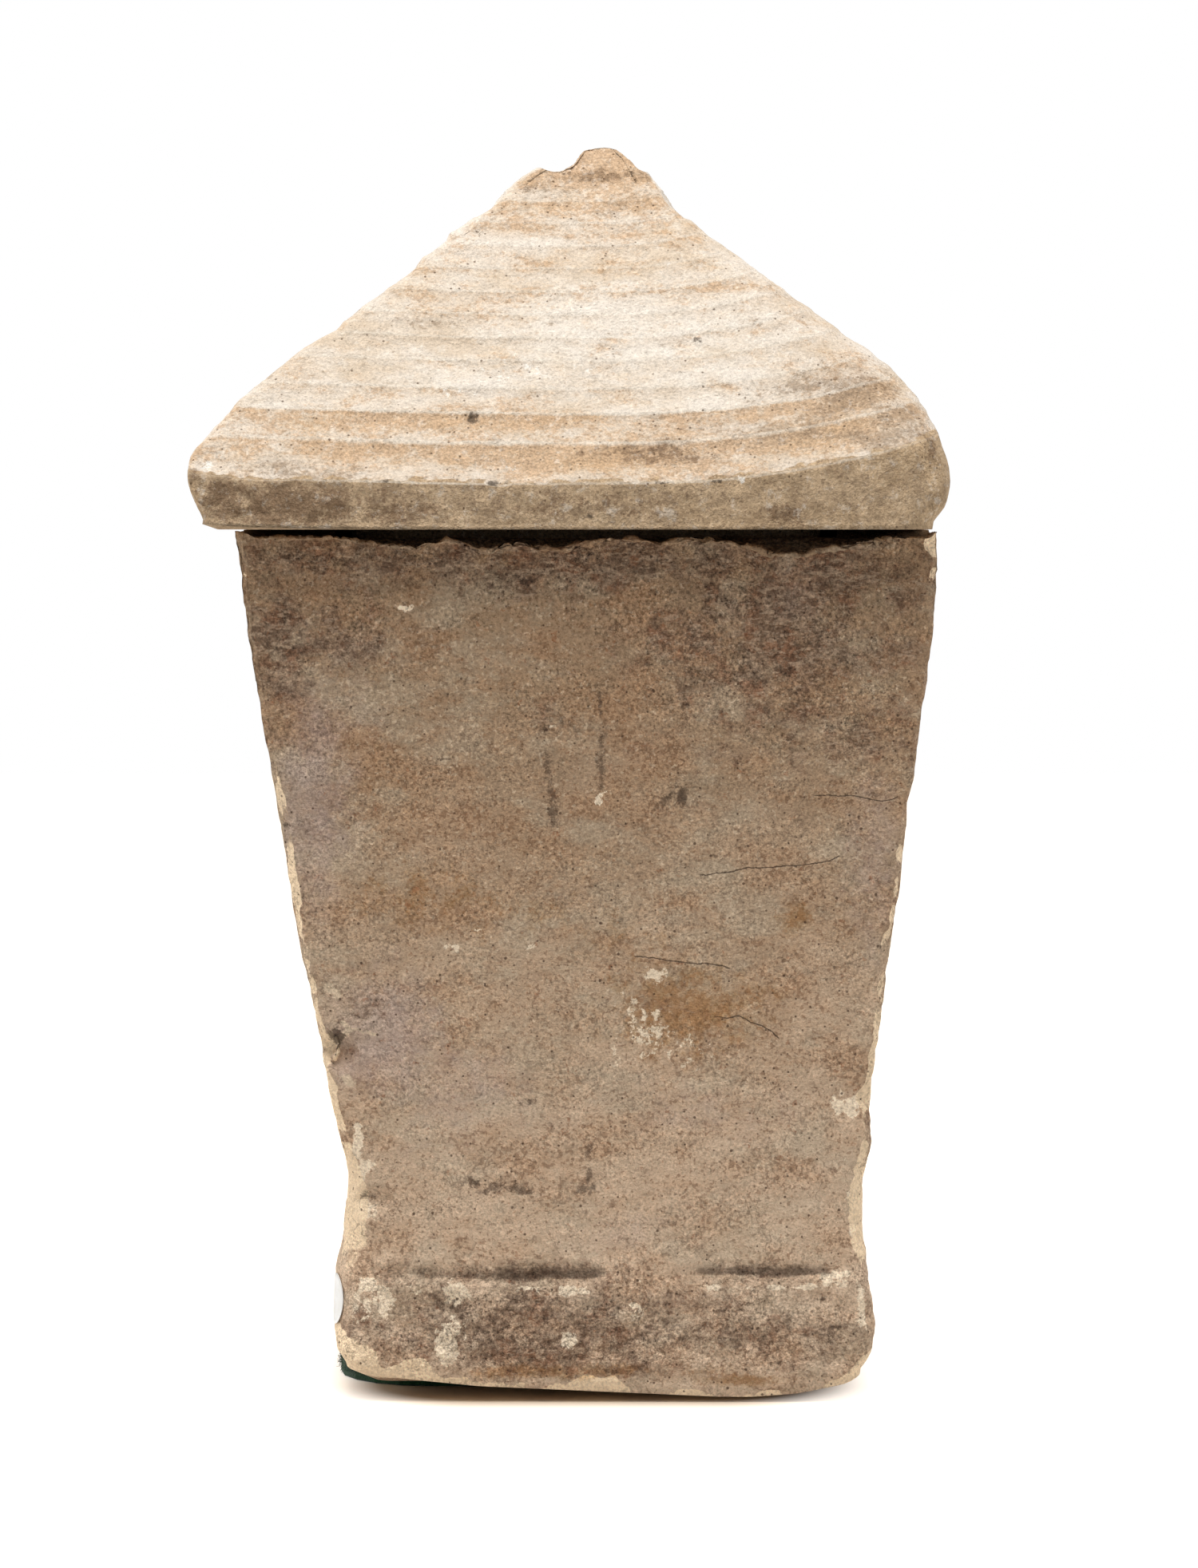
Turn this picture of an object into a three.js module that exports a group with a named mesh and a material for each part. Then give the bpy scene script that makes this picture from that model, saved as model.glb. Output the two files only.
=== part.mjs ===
// A stone burial urn: a tapering ash chest on a low plinth, closed by a roof-shaped lid whose slopes
// are dressed in shallow courses. It stands on a felt pad, and a paper label is stuck to its foot.
// Millimetres, +Z up. The origin is the centre of the pad's underside, and the shown end faces -Y.
import * as THREE from "three";

// Pieces that rest on each other keep this gap.
const seatGap = 0.3;

// Felt pad under the foot
const padWidth = 258;
const padLength = 300;
const padThickness = 7;
const padCorner = 45;

// Chest: one block, hollowed from above. Reaches are measured from the middle of the rim's rectangle.
const chestHeight = 420;
const rimHalfWidth = 168;
const rimHalfLength = 220;
const footCorner = 30;
const rimWear = 3;
const rimWearHeight = 6;
const frontRimLoss = 4;
const frontRimReach = 60;
const frontRimFade = 30;
const wallThickness = 46;
const cavityDepth = 332;
const cavityCorner = 22;
const footLift = 10;

// Shares of the chest's height, each with a share of the rim's half width or half length.
const leftFlankShares = [
  [0, 0.7], [0.022, 0.738], [0.062, 0.754], [0.136, 0.754], [0.173, 0.731], [0.21, 0.724],
  [0.248, 0.705], [0.322, 0.739], [0.414, 0.788], [0.507, 0.84], [0.599, 0.875], [0.691, 0.912],
  [0.783, 0.952], [0.875, 0.991], [0.949, 1.013], [1, 1.024],
];
const rightFlankShares = [
  [0, 0.75], [0.022, 0.793], [0.062, 0.808], [0.099, 0.799], [0.136, 0.786], [0.19, 0.769],
  [0.248, 0.775], [0.294, 0.795], [0.337, 0.784], [0.414, 0.803], [0.507, 0.839], [0.599, 0.873],
  [0.691, 0.893], [0.783, 0.932], [0.875, 0.966], [0.949, 0.979], [1, 0.973],
];
const endFaceShares = [[0, 0.88], [0.022, 0.908], [0.134, 0.915], [0.146, 0.889], [1, 1]];
const chestLevelShares = [
  0, 0.022, 0.062, 0.099, 0.134, 0.146, 0.173, 0.21, 0.248, 0.294, 0.337, 0.414, 0.507, 0.599,
  0.691, 0.783, 0.875, 0.949,
];
// Shares of the chest's height, each with a share of the foot's corner radius.
const leftCornerShares = [[0, 0.75], [0.062, 1], [0.146, 1], [0.248, 0.6], [0.337, 0.2], [1, 0.15]];
const rightCornerShares = [[0, 0.5], [0.173, 0.4], [0.337, 0.2], [1, 0.15]];
const footLiftShare = 0.1;
const cavityLevelCount = 4;

// Lid: a solid roof with hipped ends, and a raised panel below that drops into the chest's mouth.
const lidHeight = 194;
const lidHalfWidth = 182.5;
const endOverhang = 14;
const fasciaHeight = 22;
const hipRun = 140;
const rightFasciaLift = 25;
const leftFasciaLift = 5;
const rightLidCorner = 15;
const leftLidCorner = 8;
const hollowDepth = 2.4;
const panelDepth = 10;
const panelClearance = 8;

// Shares of the lid's height, each with a share of its half width.
const leftEaveShares = [
  [0, 1.022], [0.065, 1.055], [0.125, 1.07], [0.184, 1.068], [0.213, 1.049], [0.244, 1.021],
  [0.335, 0.937], [0.459, 0.78], [0.553, 0.647], [0.68, 0.472], [0.776, 0.359], [0.841, 0.281],
  [0.905, 0.212], [0.939, 0.165], [0.972, 0.08], [1, 0.04],
];
const rightEaveShares = [
  [0, 0.895], [0.065, 0.917], [0.125, 0.932], [0.184, 0.921], [0.243, 0.904], [0.304, 0.878],
  [0.365, 0.836], [0.427, 0.769], [0.521, 0.638], [0.647, 0.464], [0.776, 0.286], [0.905, 0.156],
  [0.967, 0.105], [1, 0.055],
];
// Where each tooled course starts, as a share of the rise from the fascia's top to the ridge.
const courseShares = [
  0, 0.12, 0.203, 0.275, 0.356, 0.422, 0.49, 0.557, 0.626, 0.694, 0.763, 0.83, 0.897, 0.967, 1,
];
const fasciaCurvePower = 2.4;
const cornerLimitShare = 0.45;

// Paper label on the rounded left corner of the foot
const labelHeight = 25;
const labelWidth = 19;
const labelThickness = 0.4;
const labelRiseShare = 0.099;

// Points on each side and on each corner of every ring
const endSteps = 10;
const flankSteps = 12;
const cornerSteps = 3;

const chestBottom = padThickness + seatGap;
const rimLevel = chestBottom + chestHeight;
const lidBottom = rimLevel + seatGap;

// The value at a share, from a table of [share, value] rows, on straight lines between them.
function along(table, share) {
  const next = table.findIndex(([start]) => start >= share);
  if (next <= 0) return table[next === 0 ? 0 : table.length - 1][1];
  const [startShare, startValue] = table[next - 1];
  const [endShare, endValue] = table[next];
  return startValue + ((endValue - startValue) * (share - startShare)) / (endShare - startShare);
}

// A rectangle with rounded corners, walked anticlockwise from the front left corner. The corners'
// radii are given for the right and the left side, and liftAt gives the height over any point.
function ring({ left, right, front, back, rightCorner, leftCorner }, liftAt) {
  const limit = cornerLimitShare * Math.min(right - left, back - front);
  const rightRadius = Math.min(rightCorner, limit);
  const leftRadius = Math.min(leftCorner, limit);
  const corners = [
    { x: left + leftRadius, y: front + leftRadius, radius: leftRadius, turn: Math.PI, steps: endSteps },
    { x: right - rightRadius, y: front + rightRadius, radius: rightRadius, turn: 1.5 * Math.PI, steps: flankSteps },
    { x: right - rightRadius, y: back - rightRadius, radius: rightRadius, turn: 0, steps: endSteps },
    { x: left + leftRadius, y: back - leftRadius, radius: leftRadius, turn: 0.5 * Math.PI, steps: flankSteps },
  ];
  const arcPoint = ({ x, y, radius, turn }, step) => {
    const angle = turn + (step / cornerSteps) * 0.5 * Math.PI;
    return [x + radius * Math.cos(angle), y + radius * Math.sin(angle)];
  };
  const outline = corners.flatMap((corner, index) => {
    const arc = Array.from({ length: cornerSteps + 1 }, (_, step) => arcPoint(corner, step));
    const [startX, startY] = arc[cornerSteps];
    const [endX, endY] = arcPoint(corners[(index + 1) % corners.length], 0);
    const side = Array.from({ length: corner.steps - 1 }, (_, step) => {
      const share = (step + 1) / corner.steps;
      return [startX + share * (endX - startX), startY + share * (endY - startY)];
    });
    return [...arc, ...side];
  });
  return outline.map(([x, y]) => [x, y, liftAt(x, y)]);
}

// One closed skin over a stack of rings, with a fan over the first ring and over the last.
function skin(rings) {
  const count = rings[0].length;
  const positions = rings.flat(2);
  const indices = [];
  for (let level = 0; level < rings.length - 1; level += 1) {
    for (let point = 0; point < count; point += 1) {
      const a = level * count + point;
      const b = level * count + ((point + 1) % count);
      indices.push(a, b, b + count, a, b + count, a + count);
    }
  }
  const fan = (level, upwards) => {
    const centre = positions.length / 3;
    const middle = [0, 1, 2].map((axis) => rings[level].reduce((sum, p) => sum + p[axis], 0) / count);
    positions.push(...middle);
    for (let point = 0; point < count; point += 1) {
      const a = level * count + point;
      const b = level * count + ((point + 1) % count);
      indices.push(centre, ...(upwards ? [a, b] : [b, a]));
    }
  };
  fan(0, false);
  fan(rings.length - 1, true);
  const geometry = new THREE.BufferGeometry();
  geometry.setAttribute("position", new THREE.Float32BufferAttribute(positions, 3));
  geometry.setIndex(indices);
  geometry.computeVertexNormals();
  return geometry;
}

// The chest's plan at a share of its height.
function chestPlan(share) {
  return {
    left: -rimHalfWidth * along(leftFlankShares, share),
    right: rimHalfWidth * along(rightFlankShares, share),
    front: -rimHalfLength * along(endFaceShares, share),
    back: rimHalfLength * along(endFaceShares, share),
    rightCorner: footCorner * along(rightCornerShares, share),
    leftCorner: footCorner * along(leftCornerShares, share),
  };
}

// A plan drawn in by the same distance on every side.
function inset(plan, distance, corner) {
  return {
    left: plan.left + distance,
    right: plan.right - distance,
    front: plan.front + distance,
    back: plan.back - distance,
    rightCorner: corner ?? plan.rightCorner,
    leftCorner: corner ?? plan.leftCorner,
  };
}

// The foot's front left corner is worn up off the pad.
function footWornLevel(share) {
  const level = chestBottom + share * chestHeight;
  const fade = share > 0 ? Math.max(0, 1 - share / footLiftShare) : 0;
  return (x, y) => {
    const leftness = THREE.MathUtils.clamp(-x / rimHalfWidth, 0, 1);
    const frontness = THREE.MathUtils.clamp(-y / rimHalfLength, 0, 1);
    return level + footLift * fade * leftness * frontness;
  };
}

// The rim has crumbled along the front wall, where it stands clear of the lid.
function rimWornLevel(level) {
  const reach = -rimHalfLength + frontRimReach;
  return (x, y) => level - frontRimLoss * THREE.MathUtils.clamp(1 - (y - reach) / frontRimFade, 0, 1);
}

function makeChest() {
  const outside = chestLevelShares.map((share) => ring(chestPlan(share), footWornLevel(share)));
  const rimPlan = chestPlan(1);
  const shoulder = ring(rimPlan, rimWornLevel(rimLevel - rimWearHeight));
  const rim = ring(inset(rimPlan, rimWear), rimWornLevel(rimLevel));
  const inside = Array.from({ length: cavityLevelCount + 1 }, (_, step) => {
    const depth = (cavityDepth * step) / cavityLevelCount;
    const plan = inset(chestPlan(1 - depth / chestHeight), wallThickness, cavityCorner);
    return ring(plan, step === 0 ? rimWornLevel(rimLevel) : () => rimLevel - depth);
  });
  return skin([...outside, shoulder, rim, ...inside]);
}

// One ring of the lid at a height over its underside. The rings climb towards the right, where the
// fascia is taller, and a hollow draws the ring in between two courses.
function lidRing(frontHeight, rise, run, hollow) {
  const rightHeight = frontHeight + rightFasciaLift * rise;
  const leftHeight = frontHeight + leftFasciaLift * rise;
  const left = -lidHalfWidth * along(leftEaveShares, leftHeight / lidHeight) + hollow;
  const right = lidHalfWidth * along(rightEaveShares, rightHeight / lidHeight) - hollow;
  const end = rimHalfLength + endOverhang - run - hollow;
  const plan = { left, right, front: -end, back: end, rightCorner: rightLidCorner, leftCorner: leftLidCorner };
  return ring(plan, (x) => {
    const rightness = THREE.MathUtils.clamp(x / right, 0, 1) ** fasciaCurvePower;
    const leftness = THREE.MathUtils.clamp(x / left, 0, 1) ** fasciaCurvePower;
    return lidBottom + frontHeight + rise * (rightFasciaLift * rightness + leftFasciaLift * leftness);
  });
}

function makeLid() {
  const mouth = inset(chestPlan(1), wallThickness, cavityCorner);
  const panel = inset(mouth, panelClearance);
  const panelRings = [
    ring(panel, () => lidBottom - panelDepth),
    ring(panel, () => lidBottom),
  ];
  const fasciaRings = [lidRing(0, 0, 0, 0), lidRing(0.5 * fasciaHeight, 0.5, 0, 0)];
  const roofRise = lidHeight - fasciaHeight;
  const courseRing = (share, hollow) =>
    lidRing(fasciaHeight + share * roofRise, 1 - share, share * hipRun, hollow);
  const roofRings = courseShares.slice(0, -1).flatMap((share, index) => {
    const middle = 0.5 * (share + courseShares[index + 1]);
    return [courseRing(share, 0), courseRing(middle, hollowDepth)];
  });
  return skin([...panelRings, ...fasciaRings, ...roofRings, courseRing(1, 0)]);
}

function makePad() {
  const shape = new THREE.Shape();
  const x = 0.5 * padWidth;
  const y = 0.5 * padLength;
  shape.moveTo(-x + padCorner, -y);
  shape.lineTo(x - padCorner, -y);
  shape.absarc(x - padCorner, -y + padCorner, padCorner, -0.5 * Math.PI, 0);
  shape.absarc(x - padCorner, y - padCorner, padCorner, 0, 0.5 * Math.PI);
  shape.absarc(-x + padCorner, y - padCorner, padCorner, 0.5 * Math.PI, Math.PI);
  shape.absarc(-x + padCorner, -y + padCorner, padCorner, Math.PI, 1.5 * Math.PI);
  return new THREE.ExtrudeGeometry(shape, { depth: padThickness, bevelEnabled: false, curveSegments: 8 });
}

// An oval of paper, upright, with its glued side at x = 0 and its face towards -X.
function makeLabel() {
  const shape = new THREE.Shape();
  shape.absellipse(0, 0, 0.5 * labelWidth, 0.5 * labelHeight, 0, 2 * Math.PI);
  const options = { depth: labelThickness, bevelEnabled: false, curveSegments: 20 };
  const geometry = new THREE.ExtrudeGeometry(shape, options);
  geometry.rotateX(0.5 * Math.PI);
  geometry.rotateZ(-0.5 * Math.PI);
  return geometry;
}

function piece(name, geometry, color, roughness) {
  const material = new THREE.MeshStandardMaterial({ color, roughness, metalness: 0 });
  const mesh = new THREE.Mesh(geometry, material);
  mesh.name = name;
  return mesh;
}

const urn = new THREE.Group();
const chest = piece("ash_chest", makeChest(), 0xa58d73, 0.9);
const lid = piece("roof_lid", makeLid(), 0xdfceb2, 0.9);
const pad = piece("felt_pad", makePad(), 0x123a22, 1);
const label = piece("paper_label", makeLabel(), 0xf2f1ec, 0.7);

// The label lies upright on the first flat of the foot's front left corner, clear of the flat's
// furthest point behind it.
const labelTurn = (0.25 * Math.PI) / cornerSteps;
const [outX, outY] = [-Math.cos(labelTurn), -Math.sin(labelTurn)];
const labelPlans = [-0.5, 0, 0.5].map((step) => chestPlan(labelRiseShare + (step * labelHeight) / chestHeight));
const flatReaches = labelPlans.map(({ left, front, leftCorner }) => left * outX + (front + leftCorner) * outY);
const labelReach = Math.max(...flatReaches) + seatGap;
const { left, front, leftCorner } = labelPlans[1];
const labelSide = (front + leftCorner) * outX - (left + leftCorner) * outY;
label.rotation.z = labelTurn;
label.position.set(
  labelReach * outX - labelSide * outY,
  labelReach * outY + labelSide * outX,
  chestBottom + labelRiseShare * chestHeight,
);
urn.add(chest, lid, pad, label);

export default urn;
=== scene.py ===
import math
import bpy
import numpy as np
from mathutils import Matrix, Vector, noise
from mathutils.bvhtree import BVHTree


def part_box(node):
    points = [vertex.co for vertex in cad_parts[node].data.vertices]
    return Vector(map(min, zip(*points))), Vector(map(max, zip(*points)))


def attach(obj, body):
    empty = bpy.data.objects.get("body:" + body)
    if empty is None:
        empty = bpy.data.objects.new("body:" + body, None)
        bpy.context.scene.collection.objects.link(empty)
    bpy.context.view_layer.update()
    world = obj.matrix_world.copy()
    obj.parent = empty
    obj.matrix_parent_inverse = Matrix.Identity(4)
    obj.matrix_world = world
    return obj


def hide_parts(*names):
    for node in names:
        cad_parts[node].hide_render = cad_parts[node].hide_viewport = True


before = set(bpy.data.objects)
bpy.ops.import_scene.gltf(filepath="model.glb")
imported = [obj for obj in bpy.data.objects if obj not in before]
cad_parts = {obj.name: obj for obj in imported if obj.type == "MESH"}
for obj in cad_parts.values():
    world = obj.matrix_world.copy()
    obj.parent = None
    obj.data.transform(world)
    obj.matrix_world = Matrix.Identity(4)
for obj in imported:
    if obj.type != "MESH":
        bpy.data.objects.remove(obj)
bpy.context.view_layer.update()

# Everything below is written in millimetres on the urn, and in metres once it is a mesh.
MM = 0.001

# The camera
# It looks at the urn's end from 2.7 m away and from the height of the chest's rim, tipped a little
# down so that the horizon lies above the middle of the upright picture.
picture_rows = 1964
horizon_row = 646
focal_rows = 6494
sensor_side = 36.0
eye = (1.93 * MM, -2720 * MM, 434.2 * MM)


def add(name, data):
    """A new object in the scene."""
    made = bpy.data.objects.new(name, data)
    bpy.context.scene.collection.objects.link(made)
    return made


lens = bpy.data.cameras.new("camera")
lens.lens = focal_rows / picture_rows * sensor_side
lens.sensor_width = sensor_side
camera = add("camera", lens)
camera.location = eye
tip = math.atan((0.5 * picture_rows - horizon_row) / focal_rows)
camera.rotation_euler = (math.radians(90) - tip, 0, 0)
bpy.context.scene.camera = camera


# The ash chest
# One block of grey-brown limestone, hollowed from above for the ashes, with a low plinth left at its
# foot. It tapers towards the foot. Its corners are chipped, its rim is worn down in front, and the
# dressed faces carry crusts, stains and hairline cracks.
chest_low, chest_high = (np.array(corner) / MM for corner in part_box("ash_chest"))
chest_bottom, rim_level = chest_low[2], chest_high[2]
chest_height = rim_level - chest_bottom
rim_half_length = chest_high[1]
wall = 46
cavity_depth = 332
cavity_corner = 22

# Shares of the chest's height, each with a share of the rim's half width or half length.
left_flank_shares = [
    [0, 0.712], [0.008, 0.738], [0.016, 0.75], [0.031, 0.76], [0.062, 0.764], [0.136, 0.757], [0.173, 0.733],
    [0.21, 0.724], [0.248, 0.705], [0.322, 0.739], [0.414, 0.788], [0.507, 0.84], [0.599, 0.875],
    [0.691, 0.912], [0.783, 0.952], [0.875, 0.991], [0.949, 1.013], [1, 1.024],
]
right_flank_shares = [
    [0, 0.745], [0.008, 0.774], [0.022, 0.796], [0.062, 0.808], [0.099, 0.799], [0.136, 0.786], [0.19, 0.769],
    [0.248, 0.775], [0.294, 0.795], [0.337, 0.784], [0.414, 0.803], [0.507, 0.839], [0.599, 0.869],
    [0.654, 0.887], [0.687, 0.891], [0.706, 0.908], [0.783, 0.932], [0.875, 0.966], [0.949, 0.979], [1, 0.973],
]
end_face_shares = [
    [0, 0.893], [0.006, 0.902], [0.022, 0.906], [0.121, 0.907], [0.14, 0.9], [0.17, 0.9], [0.5, 0.935], [1, 1],
]
rim_half_width = -chest_low[0] / left_flank_shares[-1][1]
# Heights above the floor, each with how much the weathering below takes off the outline again.
left_allowance = [[7, 1], [60, 2], [100, 2.8], [122, 5], [168, 4.6], [190, 3], [430, 2.6]]
right_allowance = [
    [7, 4], [20, 3.4], [60, 2.6], [100, 2.6], [122, 3.6], [200, 4], [280, 3.2], [300, 2.4], [415, 1.6], [428, 2.2],
]
# Heights above the floor, each with the radius of the chest's upright corners there.
left_corner_radii = [[0, 8], [14, 12], [34, 27], [78, 28], [105, 19], [140, 9], [180, 4], [430, 3]]
right_corner_radii = [[0, 12], [80, 13], [150, 9], [190, 4], [430, 3]]


def along(table, places, soften=0.0):
    """The values at some places, on straight lines through a table of [place, value] rows. The lines'
    joints can be softened over a distance."""
    starts, values = np.array(table, float).T
    steps = [(-soften, 0.25), (0, 0.5), (soften, 0.25)]
    return sum(share * np.interp(places + step, starts, values) for step, share in steps)


def gathered(steps, gather=0.45):
    """Shares of a side from corner to corner, closer together near both corners."""
    t = np.arange(1, steps) / steps
    return t - gather * np.sin(2 * math.pi * t) / (2 * math.pi)


def walk_round(end_steps, flank_steps, back_steps, corner_steps=5):
    """The columns of a rounded rectangle, anticlockwise from its front left corner: each one's share
    across and share deep, and how many corner radii it is moved by along x and along y."""
    arcs = []
    for across, deep, start in [(0, 0, math.pi), (1, 0, 1.5 * math.pi), (1, 1, 0), (0, 1, 0.5 * math.pi)]:
        turn = start + np.linspace(0, 0.5 * math.pi, corner_steps + 1)
        move_x = np.cos(turn) + (1 - 2 * across)
        move_y = np.sin(turn) + (1 - 2 * deep)
        arcs.append(np.stack([np.full_like(turn, across), np.full_like(turn, deep), move_x, move_y], axis=1))
    columns = []
    for index, steps in enumerate((end_steps, flank_steps, back_steps, flank_steps)):
        begin, end = arcs[index][-1], arcs[(index + 1) % 4][0]
        columns += [arcs[index], begin + gathered(steps)[:, None] * (end - begin)]
    return np.concatenate(columns).T


def loft(plan, heights, radii, walk, shrink=1.0):
    """Rows of points, one row for each height, round a plan of (left, right, front, back) arrays."""
    left, right, front, back = (np.asarray(side, float)[:, None] for side in plan)
    across, deep, move_x, move_y = walk
    left_radius, right_radius = (np.asarray(radius, float)[:, None] for radius in radii)
    radius = left_radius * (1 - across) + right_radius * across
    x = left + across * (right - left) + move_x * radius
    y = front + deep * (back - front) + move_y * radius
    middle_x, middle_y = 0.5 * (left + right), 0.5 * (front + back)
    shrink = np.broadcast_to(shrink, len(heights))[:, None]
    x = middle_x + shrink * (x - middle_x)
    y = middle_y + shrink * (y - middle_y)
    return np.stack([x, y, np.broadcast_to(np.asarray(heights, float)[:, None], x.shape)], axis=2)


def outward(grid):
    """The unit normals of a grid of points whose columns run anticlockwise and whose rows climb."""
    around = np.roll(grid, -1, axis=1) - np.roll(grid, 1, axis=1)
    normal = np.cross(around, np.gradient(grid, axis=0))
    return normal / np.maximum(np.linalg.norm(normal, axis=2, keepdims=True), 1e-9)


def rough(points, size, seed, octaves=3):
    """Fractal noise of about -1 to 1 at each point, with features of a size."""
    places = (points.reshape(-1, 3) / size + seed * 17.3).tolist()
    return np.array([noise.fractal(place, 1.0, 2.0, octaves) for place in places]).reshape(points.shape[:-1])


def smooth(low, high, value):
    """0 below low, 1 above high, and an even curve between."""
    t = np.clip((value - low) / (high - low), 0, 1)
    return t * t * (3 - 2 * t)


def patches(x, z, table, spot=lambda gone: np.exp(-0.9 * gone)):
    """How strongly each place is marked by rows of (x, z, half width, half height, strength)."""
    total = np.zeros(x.shape)
    for across, height, half_width, half_height, strength in table:
        gone = ((x - across) / half_width) ** 2 + ((z - height) / half_height) ** 2
        total = np.maximum(total, strength * spot(gone))
    return total


def dent(x, z, table):
    """The depth of rows of (x, z, half width, half height, depth) bowls."""
    return patches(x, z, table, lambda gone: np.sqrt(np.clip(1 - gone, 0, 1)))


def strewn(seed, count, *reaches):
    """Rows of numbers drawn from a fixed seed, each number between two ends of its own."""
    dice = np.random.default_rng(seed)
    return [[dice.uniform(*reach) for reach in reaches] for _ in range(count)]


def all_round(faces, marks):
    """Stains of several kinds, listed for the first face and strewn over the others. A face is how
    much each point belongs to it, two directions along it, and how far the stains reach in both."""
    stains = {}
    for kind, (seed, count, size, strength, by_hand) in marks.items():
        share, a, b = faces[0]
        stains[kind] = share * patches(a, b, by_hand)
        sizes = (0.5 * size, 1.5 * size)
        for number, (share, a, b, *reaches) in enumerate(faces[1:]):
            rows = strewn(seed + number, count, *reaches, sizes, sizes, (0.5 * strength, strength))
            stains[kind] += share * patches(a, b, rows)
    return stains


def make_piece(name, grid, stains):
    """A closed skin over the rows of a grid, with a fan over the first row and over the last."""
    rows, columns = grid.shape[:2]
    points = np.concatenate([grid.reshape(-1, 3), grid[:1].mean(axis=1), grid[-1:].mean(axis=1)])
    first = np.arange(rows * columns).reshape(rows, columns)
    following = np.roll(first, -1, axis=1)
    quads = np.stack([first[:-1], following[:-1], following[1:], first[1:]], axis=2).reshape(-1, 4)
    below = np.stack([np.full(columns, rows * columns), following[0], first[0]], axis=1)
    above = np.stack([np.full(columns, rows * columns + 1), first[-1], following[-1]], axis=1)
    mesh = bpy.data.meshes.new(name)
    mesh.from_pydata((points * MM).tolist(), [], quads.tolist() + below.tolist() + above.tolist())
    for stain, strength in stains.items():
        values = np.concatenate([strength.ravel(), [strength[0].mean(), strength[-1].mean()]])
        mesh.attributes.new(stain, "FLOAT", "POINT").data.foreach_set("value", values.astype(np.float32))
    return add(name, mesh)


# Rows of the chest, from the middle of its underside up the outside, over the rim and down into the
# hollow: how high each lies, how far it is drawn in from the outside, and how small it has shrunk.
# The outside has its foot, plinth, groove, face and rim, each from one share of the height to another
# and with a number of rows. The wear of the outside reaches over the rim's first rows.
lip_rows = 4
outside_parts = [(0, 0.03, 9), (0.03, 0.125, 15), (0.125, 0.165, 13), (0.165, 0.98, 128), (0.98, 1, 6)]
outside_shares = np.concatenate([np.linspace(*part)[:-1] for part in outside_parts])
underside_shrinks = np.array([0.1, 0.4, 0.7, 0.9])
rim_insets = np.array([0.3, 1, 2.5, 6, 13, 22, 31, 40, 44.5, wall])
cavity_depths = np.concatenate([[1.5, 4, 9], np.linspace(18, cavity_depth, 13)])
floor_shrinks = np.array([0.93, 0.8, 0.6, 0.35, 0.1])
underside_rows, outside_rows = len(underside_shrinks), len(outside_shares)
rim_rows, cavity_rows, floor_rows = len(rim_insets), len(cavity_depths), len(floor_shrinks)

heights = np.concatenate([
    np.full(underside_rows, chest_bottom), chest_bottom + chest_height * outside_shares,
    np.full(rim_rows, rim_level), rim_level - cavity_depths, np.full(floor_rows, rim_level - cavity_depth),
])
insets = np.concatenate([
    np.zeros(underside_rows + outside_rows), rim_insets, np.full(cavity_rows + floor_rows, wall),
])
shrinks = np.concatenate([underside_shrinks, np.ones(outside_rows + rim_rows + cavity_rows), floor_shrinks])
row_numbers = np.arange(len(heights))[:, None]
row_shares = (heights - chest_bottom) / chest_height
hollow_share = smooth(0.3 * wall, wall, insets)
half_lengths = rim_half_length * along(end_face_shares, row_shares) - insets
chest_plan = (
    -rim_half_width * along(left_flank_shares, row_shares, 0.012) - along(left_allowance, heights) + insets,
    rim_half_width * along(right_flank_shares, row_shares, 0.008) + along(right_allowance, heights) - insets,
    -half_lengths, half_lengths,
)
chest_radii = [
    along(table, heights) * (1 - hollow_share) + cavity_corner * hollow_share
    for table in (left_corner_radii, right_corner_radii)
]
chest_walk = walk_round(end_steps=200, flank_steps=66, back_steps=100)
chest_grid = loft(chest_plan, heights, chest_radii, chest_walk, shrinks)
every_point = np.ones(chest_grid.shape[:2])
rim_start = underside_rows + outside_rows
outside = (row_numbers >= underside_rows) & (row_numbers < rim_start + lip_rows) & (every_point > 0)
left, right, front, back = (side[:, None] for side in chest_plan)

# How far each upright corner is worn away, by height above the floor, and the chips broken out of it:
# rows of height, half height and depth.
left_wear = [
    [0, 2], [60, 4], [95, 6], [120, 4], [150, 2], [200, 2.6], [250, 3.6], [295, 4.2], [320, 2.8], [380, 2], [430, 2.5],
]
right_wear = [
    [0, 2], [60, 3], [75, 5], [110, 6], [140, 4], [160, 2], [230, 2.8], [297, 2.4], [302, 1.6], [430, 2],
]
left_chips = [
    (293, 9, 4.5), (283, 4, 5), (268, 6, 2.5), (249, 6, 3.2), (232, 8, 2.6), (205, 7, 3.5), (178, 9, 6.5),
    (157, 6, 4), (142, 5, 3.4), (129, 8, 4.2), (117, 5, 3.6), (101, 6, 6.5), (92, 4, 4), (316, 4, 2.4),
    (334, 6, 2.8), (352, 4, 2.2), (371, 7, 3), (398, 5, 2.4), (414, 5, 3.4),
]
right_chips = [
    (288, 9, 2.6), (270, 6, 3.4), (252, 5, 2.6), (222, 14, 4.6), (205, 6, 3.5), (189, 5, 3),
    (171, 6, 3.4), (148, 9, 5.5), (133, 6, 3), (112, 6, 4), (89, 5, 6.5), (78, 5, 6), (328, 7, 2.6),
    (346, 4, 2.4), (361, 5, 2.8), (388, 6, 2.6), (404, 5, 3.6), (420, 5, 5),
]
far_chips = [
    (60, 9, 5), (112, 7, 4), (150, 12, 5.5), (205, 8, 3.6), (244, 14, 6), (300, 7, 4), (352, 11, 5), (401, 9, 6),
]
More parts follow.
